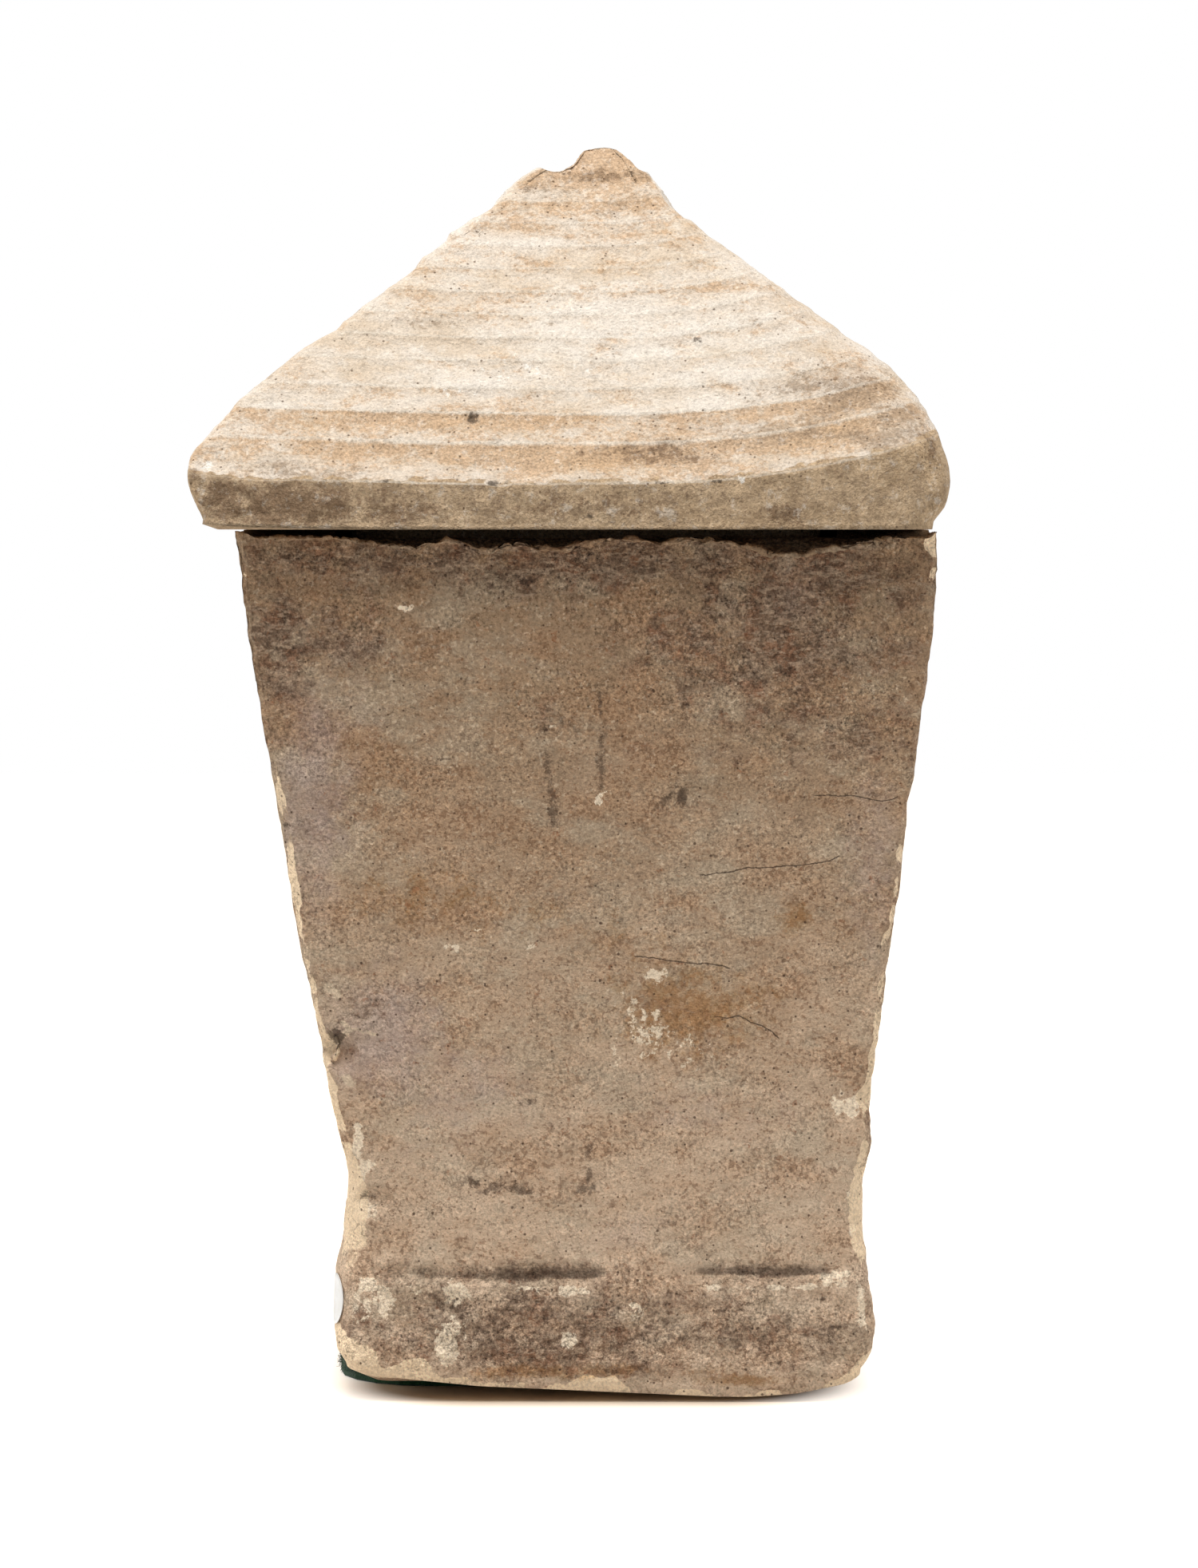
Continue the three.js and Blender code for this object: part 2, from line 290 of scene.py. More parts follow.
# How pale the broken stone has stayed: fully so low down in front, and less above and behind.
left_pale = [[0, 1], [160, 1], [185, 0.7], [240, 0.75], [280, 1], [298, 1], [308, 0.4], [430, 0.35]]
right_pale = [[0, 1], [150, 1], [200, 0.85], [300, 0.8], [320, 0.5], [396, 0.4], [406, 1], [430, 1]]
far_pale = [[0, 0.7]]
# Each upright corner: its two sides, which way is inwards along x and y, its wear, chips and paleness.
upright_corners = [
    (left, front, 1, 1, left_wear, left_chips, left_pale),
    (right, front, -1, 1, right_wear, right_chips, right_pale),
    (left, back, 1, -1, right_wear, far_chips, far_pale),
    (right, back, -1, -1, left_wear, far_chips, far_pale),
]
fresh = np.zeros(outside.shape)
for seed, (side_x, side_y, turn_x, turn_y, wear, chips, pale) in enumerate(upright_corners, 1):
    z = chest_grid[..., 2]
    depth = along(wear, z) + 1.1 * rough(chest_grid, 9, seed) + 0.6 * rough(chest_grid, 3.2, seed + 1)
    for height, half_height, chip_depth in chips:
        lean = 0.5 * rough(chest_grid, 14, seed + height)
        bowl = np.clip(1 - ((z - height) / half_height + lean) ** 2, 0, 1)
        depth = np.maximum(depth, chip_depth * np.sqrt(bowl))
    reach = ((side_x - chest_grid[..., 0]) * turn_x + (side_y - chest_grid[..., 1]) * turn_y) / math.sqrt(2)
    cut = np.where(outside, np.clip(reach + depth, 0, None), 0)
    chest_grid[..., 0] += turn_x * cut / math.sqrt(2)
    chest_grid[..., 1] += turn_y * cut / math.sqrt(2)
    broken = smooth(0.2, 1.4, cut) * np.clip(0.72 + 1.1 * rough(chest_grid, 26, seed + 5, 2), 0.1, 1)
    fresh = np.maximum(fresh, along(pale, z) * broken)

# The rim of the front wall has crumbled: how far below the lid it now lies, from left to right.
front_rim_wear = [
    [-172, 0], [-160, 1.8], [-152, 3.6], [-144, 3.4], [-133, 2.6], [-122, 4], [-110, 6], [-98, 7.4], [-87, 9.2],
    [-80, 6], [-71, 4.8], [-62, 7.6], [-53, 11], [-46, 8.6], [-36, 7], [-28, 8.2], [-19, 10.2], [-11, 8.2], [-2, 6.4],
    [8, 4.4], [15, 3.6], [24, 5.2], [32, 6.8], [42, 4.6], [50, 4.4], [66, 6.6], [76, 9], [83, 11.8], [100, 12],
    [110, 9.6], [119, 8.6], [134, 5.6], [144, 3.8], [152, 2.8], [160, 1.6], [166, 0],
]
# The whole front wall has sunk by a depth, and its lip has crumbled further.
sunk_depth = 3.2
front_reach = wall + 30
x, y, z = np.moveaxis(chest_grid, 2, 0)
from_front = y + rim_half_length
front_wall = smooth(front_reach, wall + 14, from_front)
fallen = along(front_rim_wear, x)
ragged = 1.7 * rough(chest_grid, 7, 11, 4) + 0.8 * rough(chest_grid, 3, 12)
lip_wear = smooth(32, 16, from_front) * np.clip(fallen - sunk_depth + ragged, 0, None)
front_rim = rim_level - front_wall * (sunk_depth * smooth(0, 1.6, fallen) + lip_wear)
other_wear = np.clip(1.4 * rough(chest_grid, 16, 12) - 0.5, 0, 2)
near_outside = smooth(9, 0, np.minimum(np.minimum(x - left.min(), right.max() - x), back.max() - y))
rim_top = np.where(from_front < front_reach, front_rim, rim_level - near_outside * other_wear)
chest_grid[..., 2] = np.where(z > 0.9 * rim_level, np.minimum(z, rim_top), z)

# The foot's front edge lies askew: it is worn up off the pad at both corners, most on the left, and
# hangs down in front of the pad between them. The rows are x and how far the edge is raised.
foot_edge = [
    [-134, 13], [-124, 11], [-120, 8.4], [-109, 6.8], [-88, 3.8], [-57, 0.7], [2, -1.9], [60, -4.5], [77, -4.6],
    [99, -3], [112, -0.4], [124, 2], [130, 5], [136, 9],
]
foot_reach = 42
foot_end = -198
x, y, z = np.moveaxis(chest_grid, 2, 0).copy()
raised = along(foot_edge, x, 3)
foot_lift = np.where(raised > 0, np.clip(y / foot_end, 0, 1), smooth(foot_end + 16, foot_end + 6, y)) * raised
chest_grid[..., 2] += np.clip(1 - (z - chest_bottom) / foot_reach, 0, 1) * foot_lift * outside

# A shallow groove was scored where the plinth starts, and has worn away in two places.
groove_marks = [
    (-76, 63, 30, 2.8, 1), (-44, 63, 34, 3.2, 1), (-8, 63.5, 22, 2.4, 0.8), (72, 64, 24, 3, 1),
    (104, 64.5, 22, 2.4, 0.8),
]
# Dents and flakes in the front face: x, height, half width, half height, depth.
front_dents = [
    (-126, 172, 9, 8, 5.5), (-112, 177, 12, 3, 1.3), (-113, 152, 8, 5, 1.1), (-109, 100, 9, 4.5, 3.6),
    (-33, 402, 6, 4, 1), (42, 298, 3, 4, 1.2), (-33, 148, 5, 3, 0.8), (-52, 106, 10, 4, 0.7),
    (125, 147, 12, 12, 0.9), (102, 99, 15, 3.5, 0.9), (111, 52, 7, 4, 1.1), (96, 236, 14, 10, 0.6),
    (24, 181, 26, 24, 0.35), (-70, 54, 10, 9, 0.5), (-104, 40, 14, 12, 0.8), (88, 388, 60, 26, 0.7),
    (-60, 403, 60, 8, 0.5), (60, 44, 22, 10, 0.8), (-30, 34, 30, 9, 0.6),
]
x, y, z = np.moveaxis(chest_grid, 2, 0).copy()
chest_normal = outward(chest_grid)
wander = 3 * rough(chest_grid, 26, 21)
front_facing = smooth(0.35, 0.8, -chest_normal[..., 1]) * outside * (y < 0)
back_facing = smooth(0.35, 0.8, chest_normal[..., 1]) * outside * (y > 0)
side_facing = smooth(0.5, 0.85, np.abs(chest_normal[..., 0])) * outside
plinth_share = smooth(68, 62, z) * smooth(8, 14, z - chest_bottom)
plinth_flakes = strewn(22, 70, (-125, 125), (10, 66), (3, 13), (3, 13), (0.3, 1.5))
hollowing = 1.2 * patches(x, z + 0.3 * wander, groove_marks) + dent(x + wander, z + 0.6 * wander, front_dents)
hollowing += plinth_share * dent(x + wander, z + wander, plinth_flakes)
chest_grid -= chest_normal * (front_facing * hollowing)[..., None]

# The unseen faces have flakes and dents of their own, strewn by a fixed seed.
back_flakes, left_flakes, right_flakes = (
    strewn(seed, 28, (-190, 190), (20, 410), (4, 22), (4, 22), (0.4, 1.8)) for seed in (31, 32, 33)
)
side_dents = np.where(
    x < 0, dent(y + wander, z + wander, left_flakes), dent(y + wander, z + wander, right_flakes)
)
unseen = back_facing * dent(x + wander, z + wander, back_flakes) + side_facing * side_dents
chest_grid -= chest_normal * unseen[..., None]

# Stains. Crust is a dark granular dirt, veil a thin mauve-grey film, ochre a rusty earth, and lime the
# remains of pale mortar, most of it on the ledge over the plinth and at the plinth's left end. Each
# kind has a seed, a number, a size and a strength for the unseen faces, and then its rows for the
# front: x, height, half width, half height, strength.
chest_marks = {
    "crust": (41, 26, 42, 0.7, [
        (83, 375, 73, 50, 0.85), (60, 360, 27, 23, 0.5), (129, 336, 35, 35, 0.6), (141, 398, 23, 23, 0.5),
        (-2, 413, 190, 16, 0.9), (-156, 375, 19, 58, 0.6), (-125, 386, 38, 27, 0.45), (-133, 306, 19, 23, 0.35),
        (-114, 199, 23, 19, 0.5), (-30, 36, 98, 28, 0.82), (70, 34, 80, 28, 0.58), (-36, 64, 64, 7, 0.6),
        (82, 64, 34, 6, 0.55), (120, 405, 60, 24, 0.8), (-103, 64, 23, 12, 0.4), (-120, 414, 70, 11, 0.85),
        (-152, 372, 18, 34, 0.85), (-120, 376, 28, 16, 0.8), (-60, 411, 70, 10, 0.8), (10, 412, 60, 12, 0.8),
        (33, 185, 38, 19, 0.3),
    ]),
    "veil": (51, 14, 50, 0.6, [
        (-137, 298, 23, 69, 0.7), (-102, 181, 35, 42, 0.7), (-72, 154, 46, 31, 0.5), (135, 267, 19, 58, 0.5),
        (60, 142, 62, 23, 0.35), (-121, 352, 23, 46, 0.4), (10, 83, 46, 19, 0.35), (102, 398, 35, 23, 0.4),
    ]),
    "ochre": (61, 18, 30, 0.6, [
        (-76, 250, 46, 26, 0.6), (-30, 244, 60, 16, 0.45), (14, 226, 40, 14, 0.5), (44, 194, 48, 28, 0.85),
        (57, 186, 18, 10, 0.5), (99, 240, 8, 9, 0.9), (98, 238, 14, 14, 0.5), (-37, 232, 58, 19, 0.35),
        (-106, 313, 23, 27, 0.35), (-48, 344, 31, 23, 0.3), (6, 16, 23, 5, 0.9), (56, 16, 35, 5, 0.5),
        (-2, 263, 23, 15, 0.3), (-141, 336, 15, 19, 0.3), (-48, 413, 23, 8, 0.5), (6, 417, 31, 5, 0.5),
        (-30, 15, 42, 5, 0.9), (72, 11, 25, 4, 0.9),
    ]),
    "lime": (71, 34, 6, 0.9, [
        (-91, 390, 6, 3, 0.7), (-21, 332, 3, 2, 0.7), (2, 296, 4, 3.5, 0.7), (5, 300, 3, 2, 0.55),
        (-69, 224, 6, 3, 0.75), (-57, 234, 5, 2, 0.6), (-31, 226, 3, 3, 0.8), (29, 210, 11, 8, 0.58),
        (24, 253, 4, 3, 0.6), (27, 183, 18, 20, 0.52), (15, 196, 14, 12, 0.44), (44, 174, 20, 16, 0.45),
        (14, 174, 14, 14, 0.4), (-68, 53.5, 7, 7, 1), (-113, 58, 7, 5, 0.9), (-104, 50, 7, 9, 0.9),
        (-73, 28, 7, 10, 1), (-12, 54.5, 13, 4, 0.8), (-13, 31, 6, 5, 0.9), (20, 46, 8, 8, 0.6),
        (-22, 419, 5, 3, 0.7), (58, 57.5, 5, 1.8, 0.8), (88, 57.2, 8, 1.8, 0.85),
        (104, 56.5, 7, 1.8, 0.8), (113, 62, 5, 3, 0.9), (-32, 56, 8, 3, 0.7), (-112, 117, 6, 5, 0.7),
        (-112, 93, 5, 8, 0.8), (125, 146, 7, 7, 0.8), (-88, 55, 16, 4, 0.45), (-30, 55, 26, 4, 0.45),
        (86, 57, 32, 3, 0.45), (116, 59, 12, 5, 0.6), (-116, 50, 10, 22, 0.6), (-70, 34, 10, 14, 0.6),
        (-116, 128, 4, 12, 0.8), (-117, 112, 4, 8, 0.7), (-113, 95, 6, 8, 0.8), (-122, 80, 5, 12, 0.7),
        (119, 148, 5, 9, 0.75), (122, 120, 3, 6, 0.5), (124, 102, 3, 6, 0.6), (127, 84, 4, 8, 0.7),
        (132, 50, 4, 24, 0.7), (118, 63, 9, 3, 0.8),
    ]),
    # Soot is dark dirt; its mark in the notch of the left corner, at x -126.5, is painted shade.
    "soot_and_shade": (81, 20, 7, 0.6, [
        (-33, 402, 6, 4, 0.7), (42.2, 298, 2.2, 3.8, 1.3), (35, 297, 3, 1.6, 0.9), (-126.5, 180, 5, 4.5, 1.1),
        (-31, 103, 5, 2, 0.4), (35, 49, 5, 2, 0.6), (60, 45, 6, 3, 0.6), (111, 52, 5, 3, 0.6), (-72, 48, 23, 5, 0.5),
        (95, 37, 23, 5, 0.4), (103, 100, 12, 2, 0.4), (118, 37, 8, 3, 0.6),
    ]),
}
# Dark lines of dirt on the front: x and height of both ends, and the half width.
dirt_lines = [
    (-24, 336, -23.5, 330, 1), (-23.5, 318, -21.5, 304, 1.6), (-20.5, 300, -20.5, 286, 2.2),
    (2.5, 349, 2.5, 338, 0.8), (3, 328, 3.6, 319, 1.1), (2.4, 317, 3.2, 309, 1.7), (3, 307, 2.4, 302, 1.3),
    (29.5, 292, 34, 296, 1.3), (34, 296, 38, 299, 1.7), (42, 301, 42.4, 295.5, 2.2),
    (-139, 307, -130, 307.8, 0.9), (-78, 317, -70, 316.5, 0.5), (-54, 306.8, -45, 305.8, 0.4),
    (-41, 306, -28, 306.6, 0.5), (-63, 110.5, -58, 107, 1.8), (-55, 104.5, -48, 105.5, 2.3),
    (-45, 107.5, -40, 106.5, 2), (-37, 105, -31, 102.5, 1.9), (-37, 148, -29, 148.5, 1.2),
    (-3.5, 126, -3.5, 122, 1.5), (-3, 114, -3, 110, 1.3), (-7, 105, -2, 105, 1.8),
    (-114, 102, -106, 101.5, 1.4), (-152, 284, -143, 286, 1), (-4, 404, 4, 409, 0.8), (-37, 371, -35, 372, 1.3),
]
# Pale broken edges round the notch in the left corner, given the same way.
pale_lines = [
    (-130, 174.5, -126, 176.5, 2), (-126, 176.5, -119.5, 184, 1.3), (-119.5, 184, -113, 183, 1.2),
    (-113, 183, -105.5, 180.5, 1), (-119.5, 184.5, -124, 188.5, 0.9), (-130, 205, -125, 201, 2.2),
    (-121.5, 160, -119.5, 157.5, 2),
]
# The groove over the plinth is darkened with painted shade: its height, and how dark it is, from left to right.
crease_line = [[-95, 62.8], [-58, 61], [-20, 61.6], [8, 62.8], [50, 63.4], [84, 62.6], [120, 64]]
crease_shade_strength = [
    [-97, 0], [-88, 0.5], [-60, 0.62], [-48, 0.9], [-20, 0.95], [2, 0.85], [9, 0], [45, 0], [54, 0.85], [100, 0.95],
    [112, 0.8], [120, 0],
]
cracks = [
    [(102, 298), (126, 298), (140, 296), (148, 298)],
    [(47, 260), (69, 262), (97, 265), (114, 267), (120, 270)],
    [(18, 220), (26, 219), (47, 216), (58, 216), (68, 213)],
    [(56, 191), (70, 191), (78, 187), (85, 184), (91, 178)],
]
far_from_line = 9.0
far_from_crack = 60.0


def beside(x, z, ax, az, bx, bz):
    """What share of the way along a line each point lies, and how far from the line."""
    share = ((x - ax) * (bx - ax) + (z - az) * (bz - az)) / ((bx - ax) ** 2 + (bz - az) ** 2)
    held = np.clip(share, 0, 1)
    return share, np.hypot(x - ax - held * (bx - ax), z - az - held * (bz - az))


def line_reach(x, z, lines):
    """How far away the nearest line on the front lies, in half widths of that line."""
    nearest = np.full(x.shape, far_from_line)
    for *ends, half_width in lines:
        nearest = np.minimum(nearest, beside(x, z, *ends)[1] / half_width)
    return np.where(front_facing > 0.2, nearest, far_from_line)


def crack_distance(x, z, lines):
    """How far above or below the nearest crack a point lies, and how much of a crack is there."""
    nearest, present = np.full(x.shape, far_from_crack), np.zeros(x.shape)
    for line in lines:
        for number, ((ax, az), (bx, bz)) in enumerate(zip(line, line[1:])):
            share, gone = beside(x, z, ax, az, bx, bz)
            above = np.sign((bx - ax) * (z - az) - (bz - az) * (x - ax))
            closer = gone < np.abs(nearest)
            nearest = np.where(closer, above * gone, nearest)
            opens = smooth(-0.05, 0.5, share) if number == 0 else smooth(-0.3, 0, share)
            ends = smooth(1.05, 0.4, share) if number == len(line) - 2 else smooth(1.3, 1, share)
            present = np.where(closer, opens * ends * smooth(9, 4, gone), present)
    return nearest, present


# The foot's lower edge is rubbed pale: how high the pale stone reaches, from left to right.
rubbed_heights = [
    [-132, 22], [-118, 13], [-100, 7], [-84, 8], [-72, 1.5], [-40, 0.5], [-14, 0], [-6, 8], [8, 7.5], [18, 0], [38, 0],
    [46, 4.5], [54, 4], [62, -1], [74, -1], [80, 3.5], [86, 3], [92, -1], [118, 2.5], [132, 9],
]
x, y, z = np.moveaxis(chest_grid, 2, 0)
rubbed_reach = along(rubbed_heights, x) * (0.15 + 0.85 * smooth(-70, -170, y)) + 5 * rough(chest_grid, 13, 23, 5)
rubbed_reach += 9 * rough(chest_grid, 70, 26) * smooth(-170, -70, y)
rubbed = outside * smooth(rubbed_reach + 3, rubbed_reach - 3, z - chest_bottom - foot_lift)
# Beside the end face, low down, the flanks are scraped pale.
scraped_marks = [(-212, 156, 30, 30, 1), (-206, 104, 34, 34, 1), (-214, 186, 16, 18, 0.8), (-186, 84, 16, 12, 0.7)]
scraped = patches(y, z, scraped_marks) + 0.4 * rough(chest_grid, 26, 24, 4) * smooth(-130, -190, y)
scraped *= outside * smooth(0.3, 0.6, np.abs(chest_normal[..., 0])) * smooth(46, 66, z)
crack_side, crack_here = crack_distance(x, z + 0.35 * wander, cracks)
# Painted shade along the groove over the plinth, strongest just above its line and fading upwards.
above_crease = z - along(crease_line, x, 4) + 0.6 * rough(chest_grid, 7, 25)
crease = along(crease_shade_strength, x, 2) * smooth(-1.1, 0.4, above_crease) * smooth(7, 0.8, above_crease)
inside = hollow_share[:, None] * every_point
top_rows = slice(rim_start, rim_start + rim_rows)
contact = (row_numbers <= underside_rows) * every_point
contact[top_rows] = 1
contact *= 1 - 0.8 * front_wall * (row_numbers > underside_rows)

flank_reaches = (-200, 200), (10, 420)
stains = all_round([
    (front_facing, x, z), (back_facing, x, z, (-150, 150), (10, 420)),
    (side_facing * (x < 0), y, z, *flank_reaches), (side_facing * (x > 0), y, z, *flank_reaches),
], chest_marks)
stains.update({
    "rugged": smooth(0.1, 0.8, stains["crust"]) + 0.5 * plinth_share * front_facing,
    "crust": np.maximum(stains["crust"], 0.3 * inside),
    "ochre": np.maximum(stains["ochre"], 0.35 * inside),
    "lime": np.maximum(stains["lime"], 0.2 * (z < 66) * outside),
    "fresh": np.maximum(np.maximum(fresh, scraped), rubbed),
    # The hollow is darkened towards its floor, and the top and inner face of the front wall, which lie in the shadow
    # under the lid, get painted shade.
    "soot_and_shade": np.maximum(stains["soot_and_shade"], 0.25 * smooth(0.35, 0, row_shares)[:, None] * inside)
    + 0.5 * front_wall * (row_numbers > rim_start + 1),
    "crease": crease * front_facing,
    "crack": crack_side,
    "crack_here": crack_here * front_facing,
    "dirt_line": line_reach(x, z, dirt_lines),
    "pale_line": line_reach(x, z, pale_lines),
    "free": 1 - contact,
})
chest = make_piece("carved_ash_chest", chest_grid, stains)


class Value:
    """A value in a node tree. Arithmetic with it puts nodes into the tree."""

    def __init__(self, net, socket):
        self.net, self.socket = net, socket

    def step(self, operation, *inputs):
        """One step of arithmetic with numbers."""
        return self.net.get("ShaderNodeMath", enumerate(inputs), operation=operation)

    def __add__(self, other):
        return self.step("ADD", self, other)

    def __sub__(self, other):
        return self.step("SUBTRACT", self, other)

    def __rsub__(self, other):
        return self.step("SUBTRACT", other, self)

    def __mul__(self, other):
        return self.step("MULTIPLY", self, other)

    def __rtruediv__(self, other):
        return self.step("DIVIDE", other, self)

    def __pow__(self, power):
        return self.step("POWER", self, power)

    def __abs__(self):
        return self.step("ABSOLUTE", self)

    def most(self, other):
        """The larger of two values."""
        return self.step("MAXIMUM", self, other)

    def ease(self, low, high):
        """0 below low, 1 above high, and an even curve between."""
        inputs = {0: self, 1: low, 2: high}
        return self.net.get("ShaderNodeMapRange", inputs, interpolation_type="SMOOTHSTEP")

    def vector(self, operation, other=(0, 0, 0), output=0):
        """One step of vector arithmetic, with a vector or, to scale this one, a number."""
        key = 3 if operation == "SCALE" else 1
        return self.net.get("ShaderNodeVectorMath", {0: self, key: other}, output, operation=operation)


class Net:
    """A node tree, and ways to put nodes into it."""

    def __init__(self, tree):
        self.tree = tree

    def put(self, kind, inputs=(), **settings):
        """Adds a node with its settings, and with inputs that are constants or values to link."""
        node = self.tree.nodes.new(kind)
        for name, value in settings.items():
            setattr(node, name, value)
        for key, value in dict(inputs).items():
            if isinstance(value, Value):
                self.tree.links.new(value.socket, node.inputs[key])
            else:
                node.inputs[key].default_value = value
        return node

    def get(self, kind, inputs=(), output=0, **settings):
        """The value that a new node gives."""
        return Value(self, self.put(kind, inputs, **settings).outputs[output])

    def mix(self, below, above, amount):
        """One colour laid over another, by an amount of 0 to 1."""
        return self.get("ShaderNodeMix", {0: amount, 6: below, 7: above}, 2, data_type="RGBA")

    def seen_directly(self):
        """1 for what the camera sees itself, in a mirror or through glass, and 0 for other light."""
        camera, mirror, glass = (
            self.get("ShaderNodeLightPath", output=f"Is {kind} Ray") for kind in ("Camera", "Glossy", "Transmission")
        )
        return camera.most(mirror).most(glass)


class Carving(Net):
    """A Geometry Nodes tree for one piece, with named lengths, a seed and a material given to it."""

    def __init__(self, name, *lengths):
        super().__init__(bpy.data.node_groups.new(name, "GeometryNodeTree"))
        numbers = [(label, "Float") for label in lengths]
        for label, kind in [("Geometry", "Geometry"), *numbers, ("Seed", "Int"), ("Material", "Material")]:
            self.tree.interface.new_socket(name=label, in_out="INPUT", socket_type="NodeSocket" + kind)
        self.tree.interface.new_socket(name="Geometry", in_out="OUTPUT", socket_type="NodeSocketGeometry")
        self.given = {socket.name: Value(self, socket) for socket in self.put("NodeGroupInput").outputs}

    def painted(self, name):
        """A number painted on the mesh."""
        return self.get("GeometryNodeInputNamedAttribute", {"Name": name}, data_type="FLOAT")

    def cloud(self, size, detail):
        """Fractal noise of 0 to 1 in space, which the seed changes."""
        inputs = {
            "Vector": self.get("GeometryNodeInputPosition"), "W": self.given["Seed"], "Scale": 1.0 / size,
            "Detail": detail,
        }
        return self.get("ShaderNodeTexNoise", inputs, noise_dimensions="4D")

    def sink(self, depth):
        """Moves the surface inwards where it is free, as the last step."""
        offset = self.get("GeometryNodeInputNormal").vector("SCALE", depth * self.painted("free") * -1.0)
        inputs = {"Geometry": self.given["Geometry"], "Offset": offset}
        return self.close(self.get("GeometryNodeSetPosition", inputs))

    def close(self, geometry):
        """The last steps of every tree: real geometry, and its material."""
        real = self.get("GeometryNodeRealizeInstances", {0: geometry})
        inputs = {"Geometry": real, "Material": self.given["Material"]}
        self.put("NodeGroupOutput", {0: self.get("GeometryNodeSetMaterial", inputs)})
        return self.tree


def dress(piece, tree, **values):
    """Puts a tree on a piece, with its inputs set by name, and turns the result into a plain mesh."""
    modifier = piece.modifiers.new(tree.name, "NODES")
    modifier.node_group = tree
    for item in tree.interface.items_tree:
        key = item.name.lower().replace(" ", "_")
        if item.in_out == "INPUT" and key in values:
            modifier[item.identifier] = values[key]
    graph = bpy.context.evaluated_depsgraph_get()
    mesh = bpy.data.meshes.new_from_object(piece.evaluated_get(graph), preserve_all_data_layers=True, depsgraph=graph)
    piece.modifiers.clear()
    piece.data = mesh


def round_off(mesh):
    """Shades a mesh smoothly."""
    mesh.polygons.foreach_set("use_smooth", np.ones(len(mesh.polygons), bool))


def weathering():
    """Stone wears inwards: a slow swell, a grain that is deeper where the stone is rugged, and small
    pits, except where a piece rests."""
    carving = Carving("weathering", "Swell Size", "Swell Depth", "Grain Size", "Grain Depth", "Pit Size", "Pit Depth")

    def layer(name, detail, low, high):
        return carving.cloud(carving.given[name + " Size"], detail).ease(low, high) * carving.given[name + " Depth"]

    grain = layer("Grain", 5.0, 0.3, 0.7) * (carving.painted("rugged") * 1.8 + 1.0)
    return carving.sink(layer("Swell", 3.0, 0.25, 0.75) + grain + layer("Pit", 1.0, 0.66, 0.8))


def ink(red, green, blue):
    """A screen colour of 0 to 255 a channel, as the linear colour that a shader takes."""
    return tuple(((value / 255 + 0.055) / 1.055) ** 2.4 for value in (red, green, blue)) + (1.0,)


class Paint(Net):
    """A material built up in layers of colour, whose patterns follow the object's coordinates."""

    def __init__(self, name, roughness):
        self.material = bpy.data.materials.new(name)
        self.material.use_nodes = True
        super().__init__(self.material.node_tree)
        self.shader = self.tree.nodes["Principled BSDF"]
        self.shader.inputs["Roughness"].default_value = roughness
        self.shader.inputs["Specular IOR Level"].default_value = 0.25
        self.where = self.get("ShaderNodeTexCoord", output="Object")
        self.colour = None

    def cloud(self, size, seed, detail=4.0, roughness=0.6, where=None):
        """Fractal noise of 0 to 1 with features of a size in millimetres. The seed moves it elsewhere."""
        moved = (where or self.where).vector("ADD", (1.7 * seed, 2.3 * seed, 0.9 * seed))
        inputs = {"Vector": moved, "Scale": 1 / (size * MM), "Detail": detail, "Roughness": roughness}
        return self.get("ShaderNodeTexNoise", inputs)

    def stain(self, name):
        """A stain painted on the mesh."""
        return self.get("ShaderNodeAttribute", output="Fac", attribute_name=name)

    def ragged(self, name, size, spread, low, high, seed, detail=5.0):
        """A painted stain whose soft rim is broken up by noise."""
        breaks = self.cloud(size, seed, detail, 0.7) * spread - 0.5 * spread
        return (self.stain(name) + breaks).ease(low, high)

    def grains(self, size, seed, density, width=0.05, detail=2.0, where=None):
        """Grains with crisp edges, that lie closer together where the density of 0 to 1 is higher."""
        return (density * 0.3 + self.cloud(size, seed, detail, 0.6, where)).ease(0.7 - width, 0.7 + width)

    def pits(self, spacing, low, high, share):
        """Small round pits, of which only a share of the cells has one."""
        cell = self.put("ShaderNodeTexVoronoi", {"Vector": self.where, "Scale": 1 / (spacing * MM)}).outputs
        chosen = self.get("ShaderNodeSeparateColor", {0: Value(self, cell["Color"])})
        return Value(self, cell["Distance"]).ease(high, low) * chosen.step("LESS_THAN", chosen, share)

    def tint(self, amount, share, *shown):
        """Lays a screen colour over what is there, by a share of an amount of 0 to 1."""
        self.colour = self.mix(self.colour, ink(*shown), amount * share)

    def grain(self, size, seed):
        """Fine grain together with a coarser one of a size, round 0."""
        return (self.cloud(1.5, seed + 1, 1, 0.8) - 0.5) + (self.cloud(size, seed, 5, 0.95) - 0.5) * 0.7

    def finish(self, relief, strength):
        """Joins the colour and a bump, whose height is given in millimetres, to the shader."""
        bump = self.get("ShaderNodeBump", {"Strength": strength, "Distance": MM, "Height": relief})
        self.tree.links.new(self.colour.socket, self.shader.inputs["Base Color"])
        self.tree.links.new(bump.socket, self.shader.inputs["Normal"])
        return self.material


